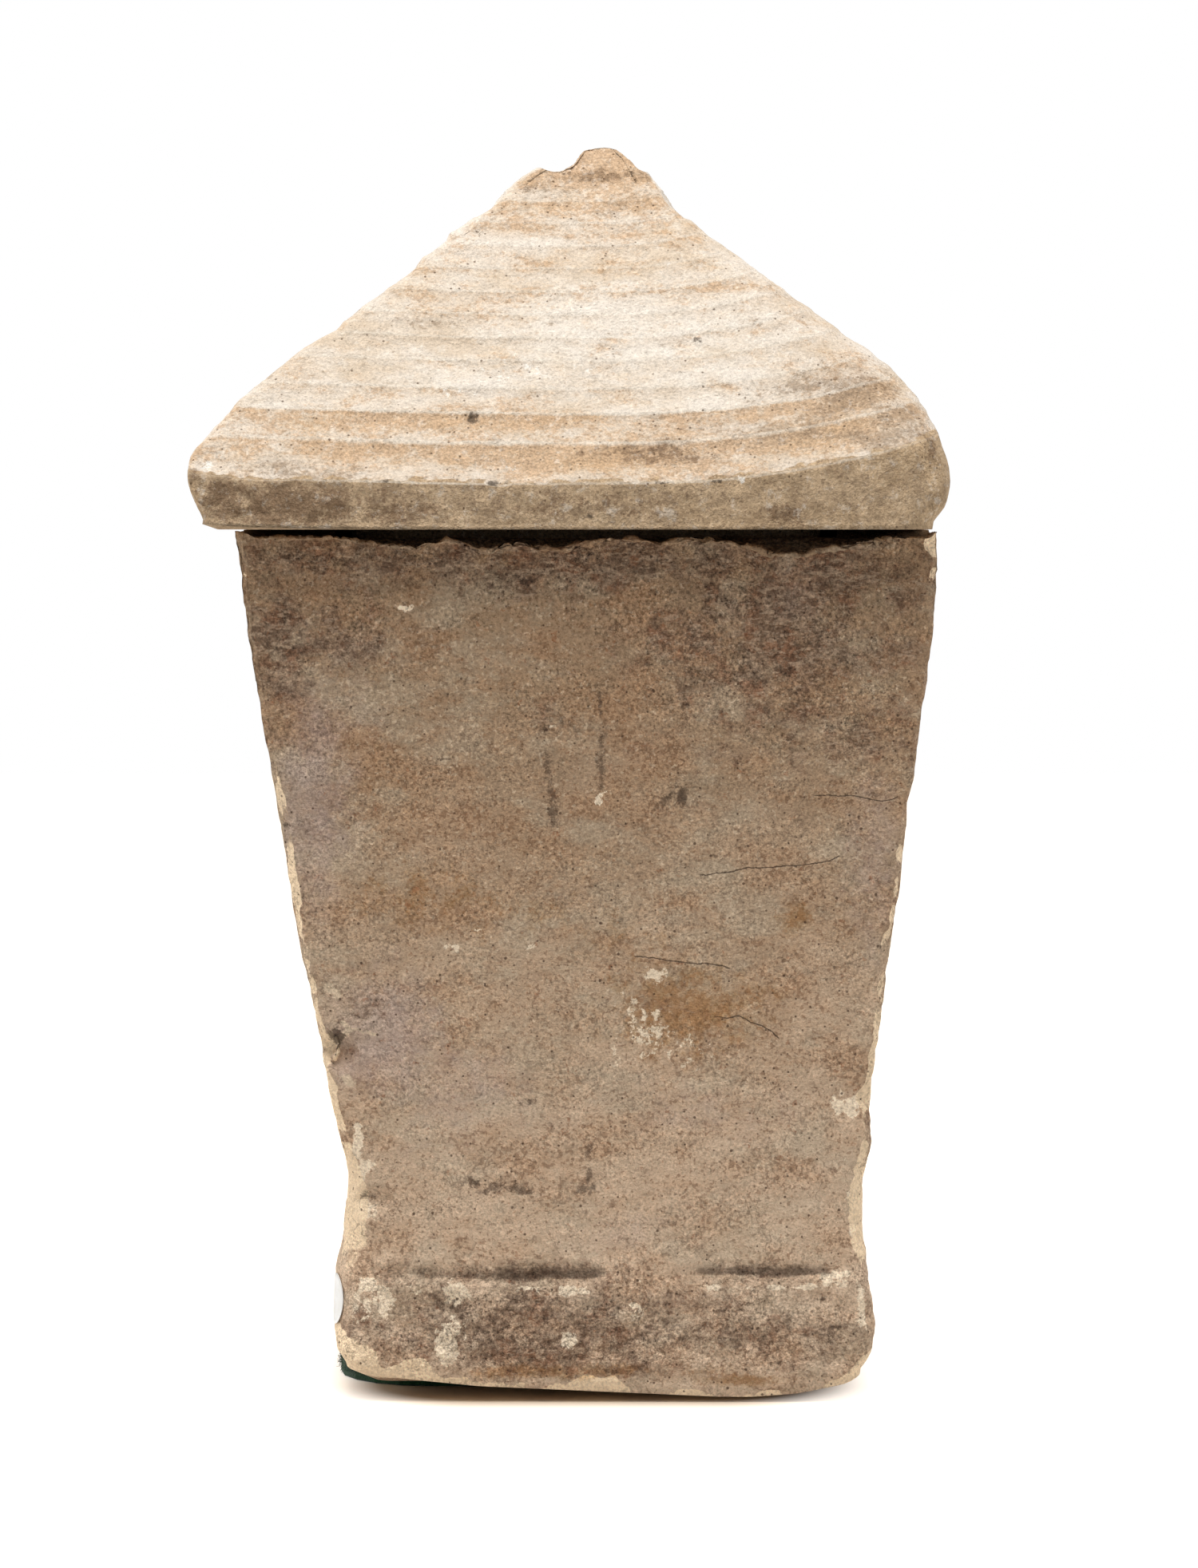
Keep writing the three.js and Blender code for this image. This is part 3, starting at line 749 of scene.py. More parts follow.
def chest_stone():
    """Grey-brown limestone with its stains. It is darker and more crusted towards the rim."""
    stone = Paint("chest_stone", 0.92)
    height = stone.get("ShaderNodeSeparateXYZ", {0: stone.where}, 2)
    flat = stone.where.vector("MULTIPLY", (0.75, 0.75, 1.35))
    slanted = stone.get(
        "ShaderNodeMapping", {"Vector": stone.where, "Rotation": (0, math.radians(28), 0), "Scale": (0.4, 1, 1.2)}
    )
    rugged = stone.stain("rugged")

    tall = (stone.cloud(48, 1, 5) * 0.18 + height).ease(0.13, 0.48)
    stone.colour = stone.mix(ink(216, 189, 162), ink(162, 135, 107), tall)
    wash = stone.cloud(32, 2, 7, 0.68, flat).ease(0.4, 0.64)
    stone.tint(wash, 0.42, 184, 142, 106)
    stone.tint(stone.grains(2.2, 17, wash * 0.5 + 0.12, 0.03, 1.5), 0.5, 114, 81, 56)
    cool = stone.cloud(34, 3, 7, 0.7, flat).ease(0.46, 0.62)
    stone.tint(cool, 0.34, 184, 172, 150)
    stone.tint(stone.grains(2.4, 19, cool * 0.2 + 0.16, 0.03, 1.5), 0.34, 226, 204, 176)
    stone.tint(stone.ragged("veil", 16, 1.0, 0.2, 0.85, 4), 0.6, 182, 162, 154)
    ochre = stone.ragged("ochre", 11, 1.5, 0.3, 0.95, 5)
    stone.tint(ochre, 0.72, 162, 124, 80)
    stone.tint(stone.grains(3, 20, ochre), 0.35, 150, 102, 62)
    crust = stone.ragged("crust", 15, 3.0, 0.2, 0.95, 6, 8)
    stone.tint(crust, 0.56, 127, 101, 83)
    stone.tint(crust * stone.cloud(15, 46, 5, 0.7).ease(0.5, 0.6), 0.5, 142, 92, 62)
    stone.tint(stone.grains(4.2, 21, crust * 0.75, 0.06, 5), 0.5, 84, 62, 48)
    stone.tint(stone.grains(3, 22, crust * 0.55, 0.05, 3, slanted), 0.5, 192, 166, 140)
    stone.tint(stone.cloud(7, 18, 4, 0.7).ease(0.64, 0.7), 0.5, 146, 92, 58)
    stone.tint(stone.ragged("lime", 4.4, 1.5, 0.48, 0.56, 10, 6), 0.84, 250, 230, 202)
    fresh = stone.ragged("fresh", 8, 1.0, 0.44, 0.54, 11)
    stone.tint(fresh, 0.82, 255, 228, 192)
    stone.tint(ochre * fresh, 0.7, 240, 184, 112)
    broken_edge = stone.cloud(3.4, 53, 4, 0.7) * 3.0 + stone.stain("pale_line")
    stone.tint(broken_edge.ease(3.0, 2.2), 0.66, 232, 210, 180)

    # Dark dirt and the dirt lines, with the painted shade of the crumbled front wall, the notch and the groove over the
    # plinth, laid on in one dark colour.
    frayed = stone.cloud(3.6, 23, 5, 0.85) * 8.0 + stone.stain("dirt_line")
    dirt_and_shade = stone.ragged("soot_and_shade", 2.4, 1.2, 0.4, 0.64, 12).most(frayed.ease(5.5, 4.3) * 0.85)
    stone.tint(dirt_and_shade.most(stone.ragged("crease", 4, 1.2, 0.08, 0.95, 48) * 0.92), 0.76, 68, 52, 42)
    stone.tint(stone.pits(3.6, 0.1, 0.2, 0.24).most(stone.pits(9, 0.06, 0.1, 0.5)), 0.8, 74, 54, 42)
    hairs = abs(stone.cloud(18, 13, 3) - 0.5).ease(0.011, 0.004)
    stone.tint(hairs * stone.cloud(24, 14, 2).ease(0.5, 0.6), 0.4, 100, 76, 58)
    off_line = abs(stone.stain("crack") + (stone.cloud(6, 15, 5) * 3.2 - 1.6))
    crack = off_line.ease(0.42, 0.1) * stone.stain("crack_here").ease(0.1, 0.6)
    stone.tint(crack, 0.8, 60, 48, 40)

    grain = stone.grain(9, 7)
    calm = stone.cloud(22, 47, 4, 0.6, flat).ease(0.42, 0.6)
    swing = tall * 0.4 + (rugged * 0.8 + (calm * 0.8 + 0.65))
    stone.colour = stone.colour.vector("SCALE", grain * swing + 1.0)
    lumps = stone.cloud(5.5, 16, 3) * (rugged * 5.0 + 0.7)
    return stone.finish(crack * -0.6 + (grain + lumps), 0.8)


weather_tree = weathering()
dress(
    chest, weather_tree, swell_size=70 * MM, swell_depth=1.6 * MM, grain_size=9 * MM, grain_depth=0.8 * MM,
    pit_size=7 * MM, pit_depth=0.5 * MM, seed=3, material=chest_stone(),
)
round_off(chest.data)
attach(chest, "chest")
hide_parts("ash_chest")


# The roof lid
# One block of paler stone, shaped as a roof with hipped ends. Its slopes were cut in shallow hollow
# courses that climb to the right, and a plain band runs round the eaves. A raised panel underneath
# drops into the chest's mouth.
lid_low, lid_high = (np.array(corner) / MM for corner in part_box("roof_lid"))
seat_gap = 0.3
lid_bottom = rim_level + seat_gap
panel_bottom = lid_low[2]
lid_height = lid_high[2] - lid_bottom
lid_end = lid_high[1]
lid_half_width = 182.5
band_height = 22
hip_run = 140
right_lift, left_lift = 25, 5
lift_power = 2.4
left_lid_corner = 8
panel_clearance = 8
ridge_level = 612
# Heights above the lid's underside, each with the radius of the worn corner on the right.
right_lid_radii = [[0, 18], [22, 28], [80, 32], [140, 16], [200, 6]]
# How much the weathering below takes off the lid's outline on the left and on the right.
left_lid_allowance = [
    [0, 1.6], [90, 1.6], [94, 0.4], [98, -2.6], [103, 0.6], [108, 1.6], [130, 2], [136, 4.6], [140, 3], [144, 2],
    [148, 5], [152, 3], [160, 1.6], [175, 2], [200, 2],
]
right_lid_allowance = [
    [0, -1], [4, 0], [11, 3.4], [60, 2.6], [80, 2.2], [100, 1.6], [130, 0.4], [160, 1], [178, 3], [200, 3],
]
# Shares of the lid's height, each with a share of its half width.
left_eave_shares = [
    [0, 1.022], [0.065, 1.055], [0.125, 1.07], [0.184, 1.068], [0.213, 1.049], [0.244, 1.021], [0.335, 0.937],
    [0.459, 0.78], [0.553, 0.647], [0.68, 0.472], [0.776, 0.359], [0.841, 0.281], [0.905, 0.212],
    [0.939, 0.165], [0.972, 0.08], [1, 0.04],
]
right_eave_shares = [
    [0, 0.895], [0.065, 0.917], [0.125, 0.932], [0.184, 0.921], [0.243, 0.904], [0.304, 0.878], [0.365, 0.836],
    [0.427, 0.769], [0.521, 0.638], [0.647, 0.464], [0.776, 0.286], [0.905, 0.156], [0.967, 0.105], [1, 0.055],
]
# Where each course starts, as a share of the rise from the band's top to the ridge.
course_shares = [0, 0.12, 0.203, 0.275, 0.356, 0.422, 0.49, 0.557, 0.626, 0.694, 0.763, 0.83, 0.897, 0.967, 1]
rows_in_course = 12
band_rows = 14

course_count = len(course_shares) - 1
roof_courses = np.arange(course_count * rows_in_course + 1) / rows_in_course
roof_shares = np.interp(roof_courses, np.arange(course_count + 1), course_shares)
band_shares = np.arange(band_rows) / band_rows
lid_walk = walk_round(end_steps=190, flank_steps=84, back_steps=100)
fronts = np.concatenate([band_height * band_shares, band_height + roof_shares * (lid_height - band_height)])
rises = np.concatenate([band_shares, 1 - roof_shares])
ends = lid_end - np.concatenate([np.zeros(band_rows), roof_shares * hip_run])

# The rows of its outside climb to the right.
left_tops, right_tops = fronts + left_lift * rises, fronts + right_lift * rises
lid_left = -lid_half_width * along(left_eave_shares, left_tops / lid_height, 0.02)
lid_left -= along(left_lid_allowance, left_tops)
lid_right = lid_half_width * along(right_eave_shares, right_tops / lid_height, 0.02)
lid_right += along(right_lid_allowance, right_tops)
widest_radius = 0.45 * (lid_right - lid_left)
lid_radii = np.minimum(left_lid_corner, widest_radius), np.minimum(along(right_lid_radii, fronts), widest_radius)
lid_outside = loft((lid_left, lid_right, -ends, ends), lid_bottom + fronts, lid_radii, lid_walk)
for side, lift in ((lid_right, right_lift), (lid_left, left_lift)):
    lid_outside[..., 2] += rises[:, None] * lift * np.clip(lid_outside[..., 0] / side[:, None], 0, 1) ** lift_power

mouth = [side[top_rows][-1] for side in chest_plan]
panel_plan = [[edge + inward * panel_clearance] for edge, inward in zip(mouth, (1, -1, 1, -1))]
panel_rows = [
    loft(panel_plan, [height], ([cavity_corner], [cavity_corner]), lid_walk, shrink)
    for height, shrink in [
        (panel_bottom, 0.1), (panel_bottom, 0.5), (panel_bottom, 0.9), (panel_bottom, 0.985), (panel_bottom + 1, 1),
        (lid_bottom, 1),
    ]
]
panel_root, eave = panel_rows[-1], lid_outside[:1]
soffit = [panel_root + share * (eave - panel_root) for share in (0.3, 0.65, 0.9)]
lid_grid = np.concatenate(panel_rows + soffit + [lid_outside])
under_rows = len(lid_grid) - len(lid_outside)
lid_points = np.ones(lid_grid.shape[:2])
lid_row_numbers = np.arange(len(lid_grid))[:, None]
lid_course = np.concatenate([np.full(under_rows + band_rows, -1.0), roof_courses])[:, None] * lid_points
on_roof = lid_course >= 0
lid_wander = 2.2 * rough(lid_grid, 45, 91)

# Dents, broken edges and lost pieces of the front slope and band: x, height, half widths, depth.
lid_dents = [
    (-59, 482, 2.2, 3, 2.5), (-68, 575, 10, 6, 1.4), (-88, 566, 6, 5, 1.2), (-47, 451, 6, 3, 1.2),
    (55, 452, 12, 3, 1), (36, 455, 4, 2, 1), (-160, 455, 16, 5, 1.5), (-184, 462, 8, 6, 2), (60, 451, 14, 4, 1.2),
    (112, 492, 20, 7, 1), (150, 500, 14, 9, 1.6), (-40, 458, 26, 6, 0.8), (20, 462, 34, 6, 0.8), (-66, 424, 10, 6, 0.6),
]
x, y, z = np.moveaxis(lid_grid, 2, 0).copy()
lid_normal = outward(lid_grid)
lid_front = smooth(0.2, 0.6, -lid_normal[..., 1]) * (y < 0)
lid_back = smooth(0.2, 0.6, lid_normal[..., 1]) * (y > 0)
lid_side = smooth(0.3, 0.7, np.abs(lid_normal[..., 0]))
above_soffit = (lid_row_numbers > under_rows) * lid_points
lid_grid -= lid_normal * (lid_front * above_soffit * dent(x + 0.4 * lid_wander, z, lid_dents))[..., None]
hip_share = np.clip(4 * lid_side * lid_front, 0, 1) + smooth(0.25, 0.55, np.abs(lid_normal[..., 0])) * lid_front
hip_chips = hip_share * np.clip(1.3 * rough(lid_grid, 17, 97, 4) - 0.2, -0.4, 1.8)
lid_grid -= lid_normal * (above_soffit * smooth(ridge_level, 600, z) * hip_chips)[..., None]
# Its lower arris is worn up towards the left end.
arris_wear = [[-198, 3], [-182, 2.3], [-170, 1.4], [-150, 0.7], [-80, 0.1], [200, 0]]
low_down = (lid_row_numbers >= under_rows) * np.clip(1 - (z - lid_bottom) / band_height, 0, 1)
lid_grid[..., 2] += low_down * along(arris_wear, x) * smooth(-60, -180, y)
side_chips = strewn(92, 46, (-220, 220), (440, 610), (5, 22), (3, 8), (0.5, 2.6))
lid_unseen = lid_side * dent(y + lid_wander, z, side_chips) + lid_back * dent(x + lid_wander, z, side_chips)
lid_grid -= lid_normal * (above_soffit * lid_unseen)[..., None]
# The ridge is worn to a dome over the shown end, with a small knob to its left, and has sunk a
# little here and there behind. The rows are x and height.
ridge_outline = [
    [-60, 640], [-37, 605.5], [-32, 609.4], [-28, 611], [-23, 608.4], [-17, 608.6], [-12, 611.4], [-8.5, 616.6],
    [-5, 619.6], [3, 620.6], [12, 619.8], [16.5, 615.8], [22, 611], [26, 608.4], [60, 640],
]
x, y, z = np.moveaxis(lid_grid, 2, 0)
behind = smooth(-60, -30, y)
worn_to = (1 - behind) * along(ridge_outline, x, 1.2) + behind * ridge_level + 0.4 * rough(lid_grid, 9, 96)
sunk = np.clip(1.5 + 2.5 * rough(lid_grid, 40, 93, 2), 0, 4) * behind * smooth(560, 608, z)
lid_grid[..., 2] = np.where(z > 590, np.minimum(z, worn_to), z) - sunk * above_soffit

# Its stains are given as the chest's are.
lid_marks = {
    "ochre": (121, 26, 30, 0.6, [
        (0, 612, 60, 16, 1.7), (-30, 588, 50, 12, 0.9), (30, 592, 30, 10, 0.9), (30, 575, 50, 8, 0.8),
        (-20, 560, 50, 7, 0.7), (-70, 540, 40, 10, 0.6), (80, 548, 50, 8, 0.6), (-60, 484, 70, 8, 0.8),
        (-120, 480, 40, 9, 0.5), (140, 510, 40, 26, 0.8), (60, 470, 80, 8, 0.8), (-150, 505, 20, 12, 0.5),
        (0, 462, 120, 10, 0.8), (100, 540, 40, 8, 0.5), (110, 485, 40, 10, 0.7),
    ]),
    "veil": (111, 18, 34, 0.6, [
        # The veil in the first two rows, over the rounded right end, is painted shade where the end turns away from the
        # light.
        (120, 494, 40, 22, 0.8), (156, 476, 26, 26, 0.9), (-85, 530, 40, 4, 0.5), (-20, 520, 60, 5, 0.35),
        (100, 560, 30, 7, 0.5), (30, 466, 40, 8, 0.6), (-140, 456, 30, 8, 0.6), (90, 530, 30, 6, 0.4),
        (10, 585, 12, 6, 0.5), (50, 580, 16, 8, 0.5), (-10, 597, 22, 5, 0.7), (84, 474, 40, 10, 0.7),
        (20, 607, 20, 3, 0.6),
    ]),
    "crust": (101, 24, 30, 0.5, [
        (28, 465, 40, 8, 0.8), (-60, 470, 60, 6, 0.5), (130, 505, 30, 14, 0.6), (90, 565, 26, 6, 0.4),
        (164, 478, 14, 30, 0.7), (-176, 444, 16, 10, 0.95), (-146, 438, 46, 14, 1.05), (-96, 437, 36, 12, 0.8),
        (92, 434, 16, 10, 0.7), (-10, 438, 80, 10, 0.6), (20, 590, 40, 5, 0.4), (40, 568, 20, 5, 0.4),
        (-190, 445, 10, 20, 0.6), (60, 478, 50, 6, 0.5), (4, 606, 40, 5, 0.8), (-34, 600, 14, 8, 0.6),
    ]),
    "lime": (131, 20, 8, 0.8, [
        (-185, 460, 7, 4, 0.6), (-183, 512, 8, 4, 0.5), (70, 452, 3, 5, 0.6), (-40, 459, 10, 4, 0.55),
        (40, 560, 60, 6, 0.4), (-30, 506, 70, 10, 0.45), (-70, 495, 60, 8, 0.4),
    ]),
    "soot_and_shade": (141, 20, 5, 0.7, [
        (-49, 450.5, 4, 2, 0.9), (-42, 451, 2.5, 1.5, 0.8), (33, 450, 8, 2, 0.6), (58, 451, 5, 2, 0.7),
        (-59, 482, 3, 3, 0.9), (-3, 434, 3, 2, 0.8), (-100, 451, 4, 2, 0.6), (-136, 484, 1.5, 2.5, 0.7),
        (40, 505, 14, 1.5, 0.5), (92, 434, 12, 10, 0.45), (50, 521, 5, 2, 0.6), (-60, 520, 30, 1.5, 0.4),
    ]),
}
phase = np.where(on_roof, lid_course - np.floor(lid_course), 0)
band = smooth(0.25, -0.05, lid_course + 0.15 * rough(lid_grid, 8, 94))
# The courses are cut deepest in the middle of the front and low down. Beside it they have weathered away.
mid_front = lid_front * smooth(-178, -96, x) * smooth(176, 120, x)
cut_depth = 0.25 + 0.75 * mid_front * (0.6 + 0.4 * smooth(560, 480, z))
cut_depth = np.maximum(cut_depth, 0.7 * lid_back) * smooth(ridge_level, 580, z)
course_depths = [[0, 1], [1.9, 1], [2.1, 0.8], [4, 0.75], [8, 0.7], [14, 0.6]]
cut_depth *= along(course_depths, lid_course) * np.clip(0.85 + 0.4 * rough(lid_grid, 60, 95), 0.2, 1.2)
# Painted shade: each course is marked darker towards its upper arris, where it turns steeply away from the light, most
# on the lowest courses, and the lowest courses are marked darker all over.
steep_shade = smooth(0.2, 1, phase) * (0.3 + 0.55 * smooth(2.2, 1.9, lid_course)) + 0.35 * smooth(2.1, 1.5, lid_course)
lid_stains = all_round([
    (lid_front, x, z), (lid_back, x, z, (-180, 180), (430, 610)), (lid_side, y, z, (-220, 220), (430, 610)),
], lid_marks)
lid_stains["ochre"] += 0.7 * lid_front * smooth(0.3, 0.6, np.abs(lid_normal[..., 0]))
lid_stains.update({
    "band": np.maximum(band, 1 - above_soffit),
    "phase": phase,
    "cut": cut_depth,
    # A painted highlight along each course's edge.
    "arris": np.exp(-((np.minimum(phase, 1 - phase) / 0.1) ** 2)) * on_roof,
    "steep_shade": steep_shade * on_roof * (lid_front + lid_back),
    "rugged": smooth(0.2, 0.8, lid_stains["crust"]),
    "free": above_soffit,
})
lid = make_piece("carved_roof_lid", lid_grid, lid_stains)


def course_cutting():
    """Hollow courses: each is scooped most just under its upper arris, deeper here than there."""
    carving = Carving("course_cutting", "Flute Depth", "Uneven Size")
    phase = carving.painted("phase")
    bowl = phase ** 1.6 * (1.0 - phase) ** 0.7 * 4.1
    uneven = carving.cloud(carving.given["Uneven Size"], 2.0)
    strength = carving.get("ShaderNodeMapRange", {0: uneven, 1: 0.3, 2: 0.7, 3: 0.25, 4: 1.15})
    return carving.sink(bowl * strength * carving.given["Flute Depth"] * carving.painted("cut"))


def lid_stone():
    """Cream limestone. As painted shade it is ochre and darker where the courses turn away from the light;
    the band is darker and browner, partly as painted shade.
    """
    stone = Paint("lid_stone", 0.9)
    flat = stone.where.vector("MULTIPLY", (0.6, 0.7, 1.5))

    slow = stone.cloud(50, 21, 6, 0.66, flat)
    stone.colour = stone.mix(ink(218, 199, 176), ink(238, 228, 215), slow.ease(0.36, 0.6))
    # Where the courses carry painted shade, and where the ochre stain lies, the slopes turn ochre.
    marks = stone.stain("steep_shade") * 0.9 + stone.stain("ochre")
    stone.tint((marks * 0.3 + slow).ease(0.45, 0.9), 0.5, 204, 178, 148)
    density = (marks * 0.2 + stone.cloud(15, 24, 7, 0.74, flat)).ease(0.5, 0.8)
    stone.tint(density, 0.5, 208, 172, 130)
    stone.tint(stone.grains(2.6, 27, density, 0.05, 4), 0.34, 184, 140, 96)
    cool = (stone.stain("veil") * 0.36 + stone.cloud(18, 25, 6, 0.72, flat)).ease(0.58, 0.84)
    stone.tint(cool, 0.5, 180, 158, 134)
    stone.tint(stone.grains(2.2, 26, cool, 0.04), 0.4, 140, 114, 88)
    crust = stone.ragged("crust", 9, 1.6, 0.3, 1.0, 28)
    stone.tint(crust, 0.42, 166, 134, 102)

    # The band and the underside get darker, browner colours than the slopes, partly as painted shade, for the band
    # faces forward and the light comes from above.
    slope_colour = stone.colour
    band_tone = stone.cloud(13, 29, 8, 0.82).ease(0.36, 0.62)
    stone.colour = stone.mix(ink(154, 128, 97), ink(200, 171, 135), band_tone)
    stone.tint(crust, 0.42, 126, 100, 75)
    stone.tint(stone.grains(2.2, 45, band_tone * 0.5, 0.04, 3), 0.3, 222, 199, 168)
    stone.tint(stone.grains(1.8, 50, crust * 0.3 + 0.3, 0.03), 0.45, 112, 86, 62)
    stone.colour = stone.mix(slope_colour, stone.colour, stone.ragged("band", 3, 0.4, 0.4, 0.6, 30) * 0.92)

    stone.tint(stone.grains(3.2, 31, crust, 0.05, 3), 0.5, 118, 92, 68)
    stone.tint(stone.cloud(8, 32, 6, 0.75).ease(0.54, 0.66), 0.3, 248, 240, 228)
    # Painted highlight along the courses' edges, where they are cut deep.
    stone.tint(stone.ragged("arris", 6, 0.9, 0.5, 0.95, 33) * stone.stain("cut"), 0.5, 242, 232, 216)
    stone.tint(stone.ragged("lime", 4.5, 1.2, 0.5, 0.6, 34), 0.8, 248, 242, 232)
    stone.tint(stone.ragged("soot_and_shade", 2.5, 1.3, 0.4, 0.7, 35), 0.85, 84, 72, 60)
    crowd = (marks * 0.12 + stone.cloud(20, 36)).ease(0.48, 0.7) * 0.8
    stone.tint(stone.pits(4, 0.1, 0.2, crowd).most(stone.pits(14, 0.03, 0.06, 0.3)), 0.75, 92, 70, 50)
    grain = stone.grain(7, 37)
    stone.colour = stone.colour.vector("SCALE", grain * (density * 0.5 + 0.75) + 1.0)
    return stone.finish(grain + stone.cloud(6, 39) * (stone.stain("rugged") * 2.0 + 1.8), 0.75)


lid_material = lid_stone()
dress(lid, course_cutting(), flute_depth=2.2 * MM, uneven_size=55 * MM, seed=5, material=lid_material)
dress(
    lid, weather_tree, swell_size=60 * MM, swell_depth=1.6 * MM, grain_size=8 * MM, grain_depth=0.7 * MM,
    pit_size=8 * MM, pit_depth=0.5 * MM, seed=8, material=lid_material,
)
round_off(lid.data)
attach(lid, "lid")
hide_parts("roof_lid")


# The felt pad
# A slab of dark green felt cut with a knife, a little smaller than the foot, which shows at the
# lower corners. Its cut edge is soft, and loose fibres stand out of it.
pad_low, pad_high = (np.array(corner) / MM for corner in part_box("felt_pad"))
pad_corner = 45.0
pad_round = 1.2
pad_steps = 6
fibre_density = 420000.0
fibre_length = 2.6
fibre_radius = 0.1
# Fibres grow from between these heights upwards, so that none of them reaches the floor.
fibre_start = [3.1, 3.6]

pad_turn = np.linspace(0, 0.5 * math.pi, pad_steps)
drop, inset = pad_round * (1 - np.cos(pad_turn)), pad_round * (1 - np.sin(pad_turn))
pad_side = np.concatenate([pad_low[2] + drop, fibre_start, pad_high[2] - drop[::-1]])
pad_shrinks = np.array([0.2, 0.6, 0.9])
pad_heights = np.pad(pad_side, len(pad_shrinks), mode="edge")
pad_insets = np.pad(np.concatenate([inset, [0, 0], inset[::-1]]), len(pad_shrinks), mode="edge")
pad_plan = (
    pad_low[0] + pad_insets, pad_high[0] - pad_insets, pad_low[1] + pad_insets, pad_high[1] - pad_insets,
)
pad_radii = np.full(len(pad_heights), pad_corner)
pad_row_shrinks = np.concatenate([pad_shrinks, np.ones(len(pad_side)), pad_shrinks[::-1]])
pad_walk = walk_round(end_steps=90, flank_steps=110, back_steps=90)
pad_grid = loft(pad_plan, pad_heights, (pad_radii, pad_radii), pad_walk, pad_row_shrinks)
upper_edge = (pad_side > fibre_start[0] + 0.1).astype(float)
pad_edge = np.pad(upper_edge, len(pad_shrinks))[:, None] * np.ones(pad_grid.shape[1])
pad_grid[..., :2] *= 1 - 0.006 * (pad_edge * (0.5 + 0.5 * rough(pad_grid, 30, 151)))[..., None]
pad = make_piece("green_felt_pad", pad_grid, {"edge": pad_edge})


def felt_fibres():
    """Loose fibres: short bent hairs strewn over the cut edge."""
    carving = Carving("felt_fibres", "Fibre Density", "Fibre Length", "Fibre Radius")
    given, edge = carving.given, carving.painted("edge")
    inputs = {
        "Mesh": given["Geometry"], "Selection": edge.step("GREATER_THAN", edge, 0.6),
        "Density": given["Fibre Density"], "Seed": given["Seed"],
    }
    strewn_points = carving.put("GeometryNodeDistributePointsOnFaces", inputs, distribute_method="RANDOM").outputs
    half = given["Fibre Length"] * 0.5
    middle = carving.get("ShaderNodeCombineXYZ", {0: half * 0.5, 2: half})
    tip = carving.get("ShaderNodeCombineXYZ", {1: half, 2: given["Fibre Length"]})
    inputs = {"Resolution": 3, "Start": (0, 0, 0), "Middle": middle, "End": tip}
    hair = carving.get("GeometryNodeCurveQuadraticBezier", inputs)
    section = carving.get("GeometryNodeCurvePrimitiveCircle", {"Resolution": 3, "Radius": given["Fibre Radius"]})
    solid = carving.get("GeometryNodeCurveToMesh", {"Curve": hair, "Profile Curve": section, "Fill Caps": True})
    inputs = {0: (-1.2, -1.2, -3.1), 1: (1.2, 1.2, 3.1), "Seed": given["Seed"]}
    spin = carving.get("FunctionNodeRandomValue", inputs, data_type="FLOAT_VECTOR")
    inputs = {0: Value(carving, strewn_points["Rotation"]), "Rotate By": spin}
    turned = carving.get("FunctionNodeRotateEuler", inputs, space="LOCAL")
    inputs = {"Points": Value(carving, strewn_points["Points"]), "Instance": solid, "Rotation": turned}
    fibres = carving.get("GeometryNodeInstanceOnPoints", inputs)
    joined = carving.put("GeometryNodeJoinGeometry")
    for part in (fibres, given["Geometry"]):
        carving.tree.links.new(part.socket, joined.inputs[0])
    return carving.close(Value(carving, joined.outputs[0]))


def green_felt():
    """Dark green wool felt."""
    felt = Paint("green_felt", 0.97)
    felt.shader.inputs["Sheen Weight"].default_value = 0.25
    felt.colour = felt.mix(ink(10, 44, 24), ink(22, 68, 38), felt.cloud(12, 41, 6, 0.7).ease(0.3, 0.7))
    upright = felt.where.vector("MULTIPLY", (1.0, 1.0, 0.35))
    felt.tint(felt.cloud(0.9, 42, 4, 0.7, upright).ease(0.52, 0.7), 0.5, 52, 96, 62)
    return felt.finish(felt.cloud(0.9, 43, 5, 0.7) * 0.6, 0.7)


dress(
    pad, felt_fibres(), fibre_density=fibre_density, fibre_length=fibre_length * MM,
    fibre_radius=fibre_radius * MM, seed=6, material=green_felt(),
)
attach(pad, "chest")
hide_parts("felt_pad")


# The paper label
# A small oval of white paper, glued to the rounded left side of the foot. It follows the stone
# under it, and its edge lifts a little.
label_low, label_high = (np.array(corner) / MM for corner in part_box("paper_label"))
label_middle = 0.5 * (label_low + label_high)
label_half_width, label_half_height = 9.5, 12.5
paper_thickness = 0.25
paper_gap = 0.2
rings, spokes = 7, 48

stone = BVHTree.FromObject(chest, bpy.context.evaluated_depsgraph_get())
label_turn = math.radians(20)
facing = np.array([-math.cos(label_turn), -math.sin(label_turn), 0])
sideways = np.array([math.sin(label_turn), -math.cos(label_turn), 0])
spoke_turns = 2 * math.pi * np.arange(spokes) / spokes
reaches = np.arange(1, rings + 1) / rings
flat_a = np.concatenate([[0], np.outer(reaches, label_half_width * np.cos(spoke_turns)).ravel()])
flat_b = np.concatenate([[0], np.outer(reaches, label_half_height * np.sin(spoke_turns)).ravel()])
flat_points = label_middle + np.outer(flat_a, sideways) + np.outer(flat_b, [0, 0, 1])


def stone_under(point):
    """How far in front of a point of the label's plane the stone's surface lies."""
    hit = stone.ray_cast(Vector((point + 60 * facing) * MM), Vector(-facing))[0]
    return float((np.array(hit) / MM - label_middle) @ facing)


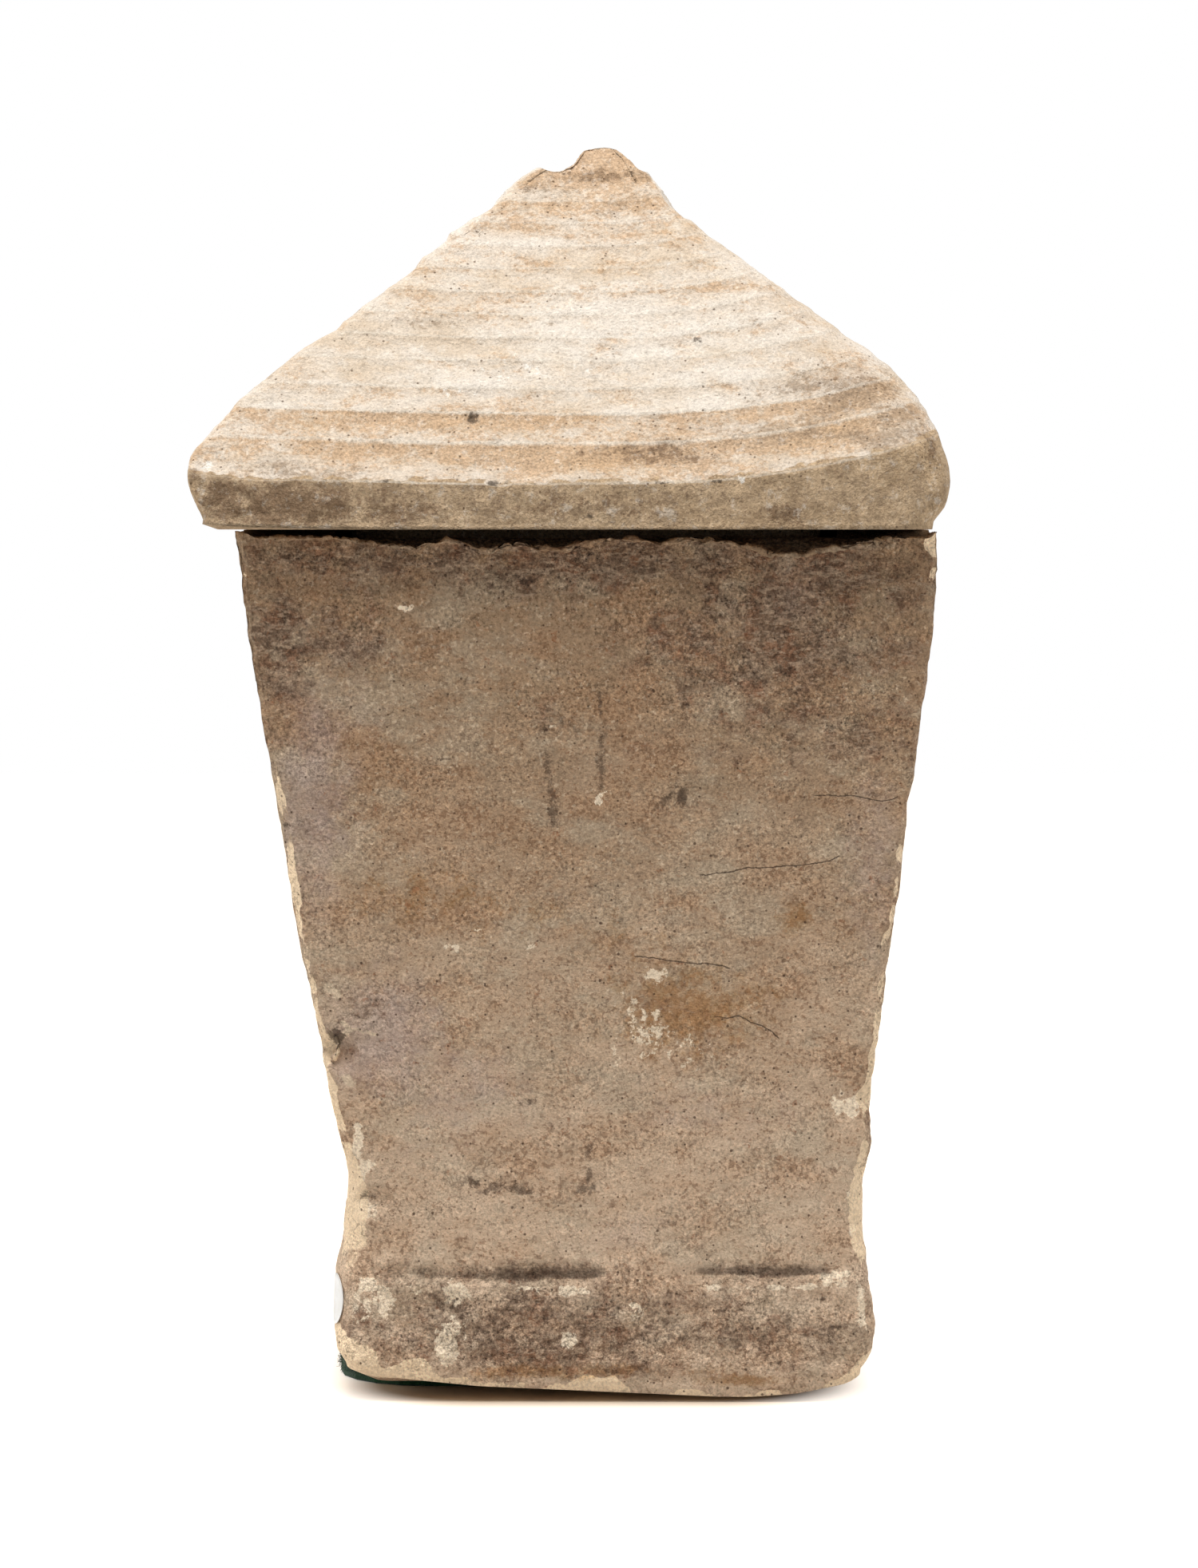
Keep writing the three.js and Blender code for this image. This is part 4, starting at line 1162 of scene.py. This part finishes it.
lies = np.array([stone_under(point) for point in flat_points])
terms = np.stack([np.ones_like(flat_a), flat_a, flat_b, flat_a ** 2, flat_a * flat_b, flat_b ** 2], axis=1)
bend = terms @ np.linalg.lstsq(terms, lies, rcond=None)[0]
bend += max(0.0, float((lies - bend).max())) + paper_gap
label_points = flat_points + np.outer(bend, facing)
count = len(label_points)
outer_ring = count - spokes
back_faces, rim_faces = [], []
for spoke in range(spokes):
    after = (spoke + 1) % spokes
    back_faces.append((1 + spoke, 1 + after, 0))
    for start in range(1, outer_ring, spokes):
        a, b = start + spoke, start + after
        back_faces.append((a + spokes, b + spokes, b, a))
    a, b = outer_ring + spoke, outer_ring + after
    rim_faces.append((a, b, b + count, a + count))
front_faces = [tuple(point + count for point in face[::-1]) for face in back_faces]
label_mesh = bpy.data.meshes.new("oval_paper_label")
both_sides = np.concatenate([label_points, label_points + paper_thickness * facing])
label_mesh.from_pydata((both_sides * MM).tolist(), [], back_faces + front_faces + rim_faces)
label = add("oval_paper_label", label_mesh)


def white_paper():
    """Matt white paper, a little yellowed."""
    paper = Paint("white_paper", 0.7)
    paper.colour = paper.mix(ink(248, 247, 243), ink(255, 255, 253), paper.cloud(6, 51, 5).ease(0.35, 0.7))
    return paper.finish(paper.cloud(0.6, 52) * 0.08, 0.5)


label_mesh.materials.append(white_paper())
round_off(label_mesh)
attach(label, "chest")
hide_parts("paper_label")


# The floor and the light
# A white floor that keeps the urn's shadow, a white surround, and soft light from above.
floor_mesh = bpy.data.meshes.new("floor")
reach = 6.0
floor_corners = [(-reach, -reach, 0), (reach, -reach, 0), (reach, reach, 0), (-reach, reach, 0)]
floor_mesh.from_pydata(floor_corners, [], [(0, 1, 2, 3)])
floor = add("floor", floor_mesh)

floor_material = bpy.data.materials.new("white_floor")
floor_material.use_nodes = True
ground = Net(floor_material.node_tree)
ground.tree.nodes.clear()
seen = ground.seen_directly()
# Rays from the camera see the floor's matt part brown, so the shadow under the foot shows brown: a painted shade
# colour.
matt = ground.get("ShaderNodeBsdfDiffuse", {"Color": ground.mix((0.72, 0.7, 0.67, 1), (0.6, 0.48, 0.35, 1), seen)})
# How far a spot lies outside a rectangle under the foot: the floor glows white beyond its shadow.
spot = ground.get("ShaderNodeTexCoord", output="Object").vector("ABSOLUTE")
spot = spot.vector("SUBTRACT", (57 * MM, 140 * MM, 0)).vector("MAXIMUM")
away = spot.vector("LENGTH", output="Value")
glow = ground.get("ShaderNodeEmission", {"Color": (1, 0.97, 0.93, 1), "Strength": seen * away.ease(48 * MM, 86 * MM)})
ground.put("ShaderNodeOutputMaterial", {"Surface": ground.get("ShaderNodeAddShader", {0: matt, 1: glow})})
floor_mesh.materials.append(floor_material)

world = bpy.data.worlds.new("surround")
bpy.context.scene.world = world
world.use_nodes = True
sky = Net(world.node_tree)
sky.tree.nodes.clear()
strength = sky.get("ShaderNodeMapRange", {0: sky.seen_directly(), 3: 0.35, 4: 1.0})
surround = sky.get("ShaderNodeBackground", {"Color": (1, 1, 1, 1), "Strength": strength})
sky.put("ShaderNodeOutputWorld", {"Surface": surround})

# Each lamp is a square one: its place and what it shines at, in metres, its size and its power.
for name, place, aim, size, power in [
    ("top_light", (-0.25, -1.0, 2.6), (0, -0.1, 0.4), 1.1, 51),
    ("left_light", (-1.7, 0.3, 0.5), (0, 0.1, 0.3), 1.0, 10),
    ("right_light", (1.7, 0.3, 0.5), (0, 0.1, 0.3), 1.0, 8),
]:
    lamp = bpy.data.lights.new(name, "AREA")
    lamp.size = size
    lamp.energy = power
    holder = add(name, lamp)
    holder.location = place
    holder.rotation_euler = (Vector(aim) - Vector(place)).to_track_quat("-Z", "Y").to_euler()

bpy.context.scene.view_settings.view_transform = "Standard"
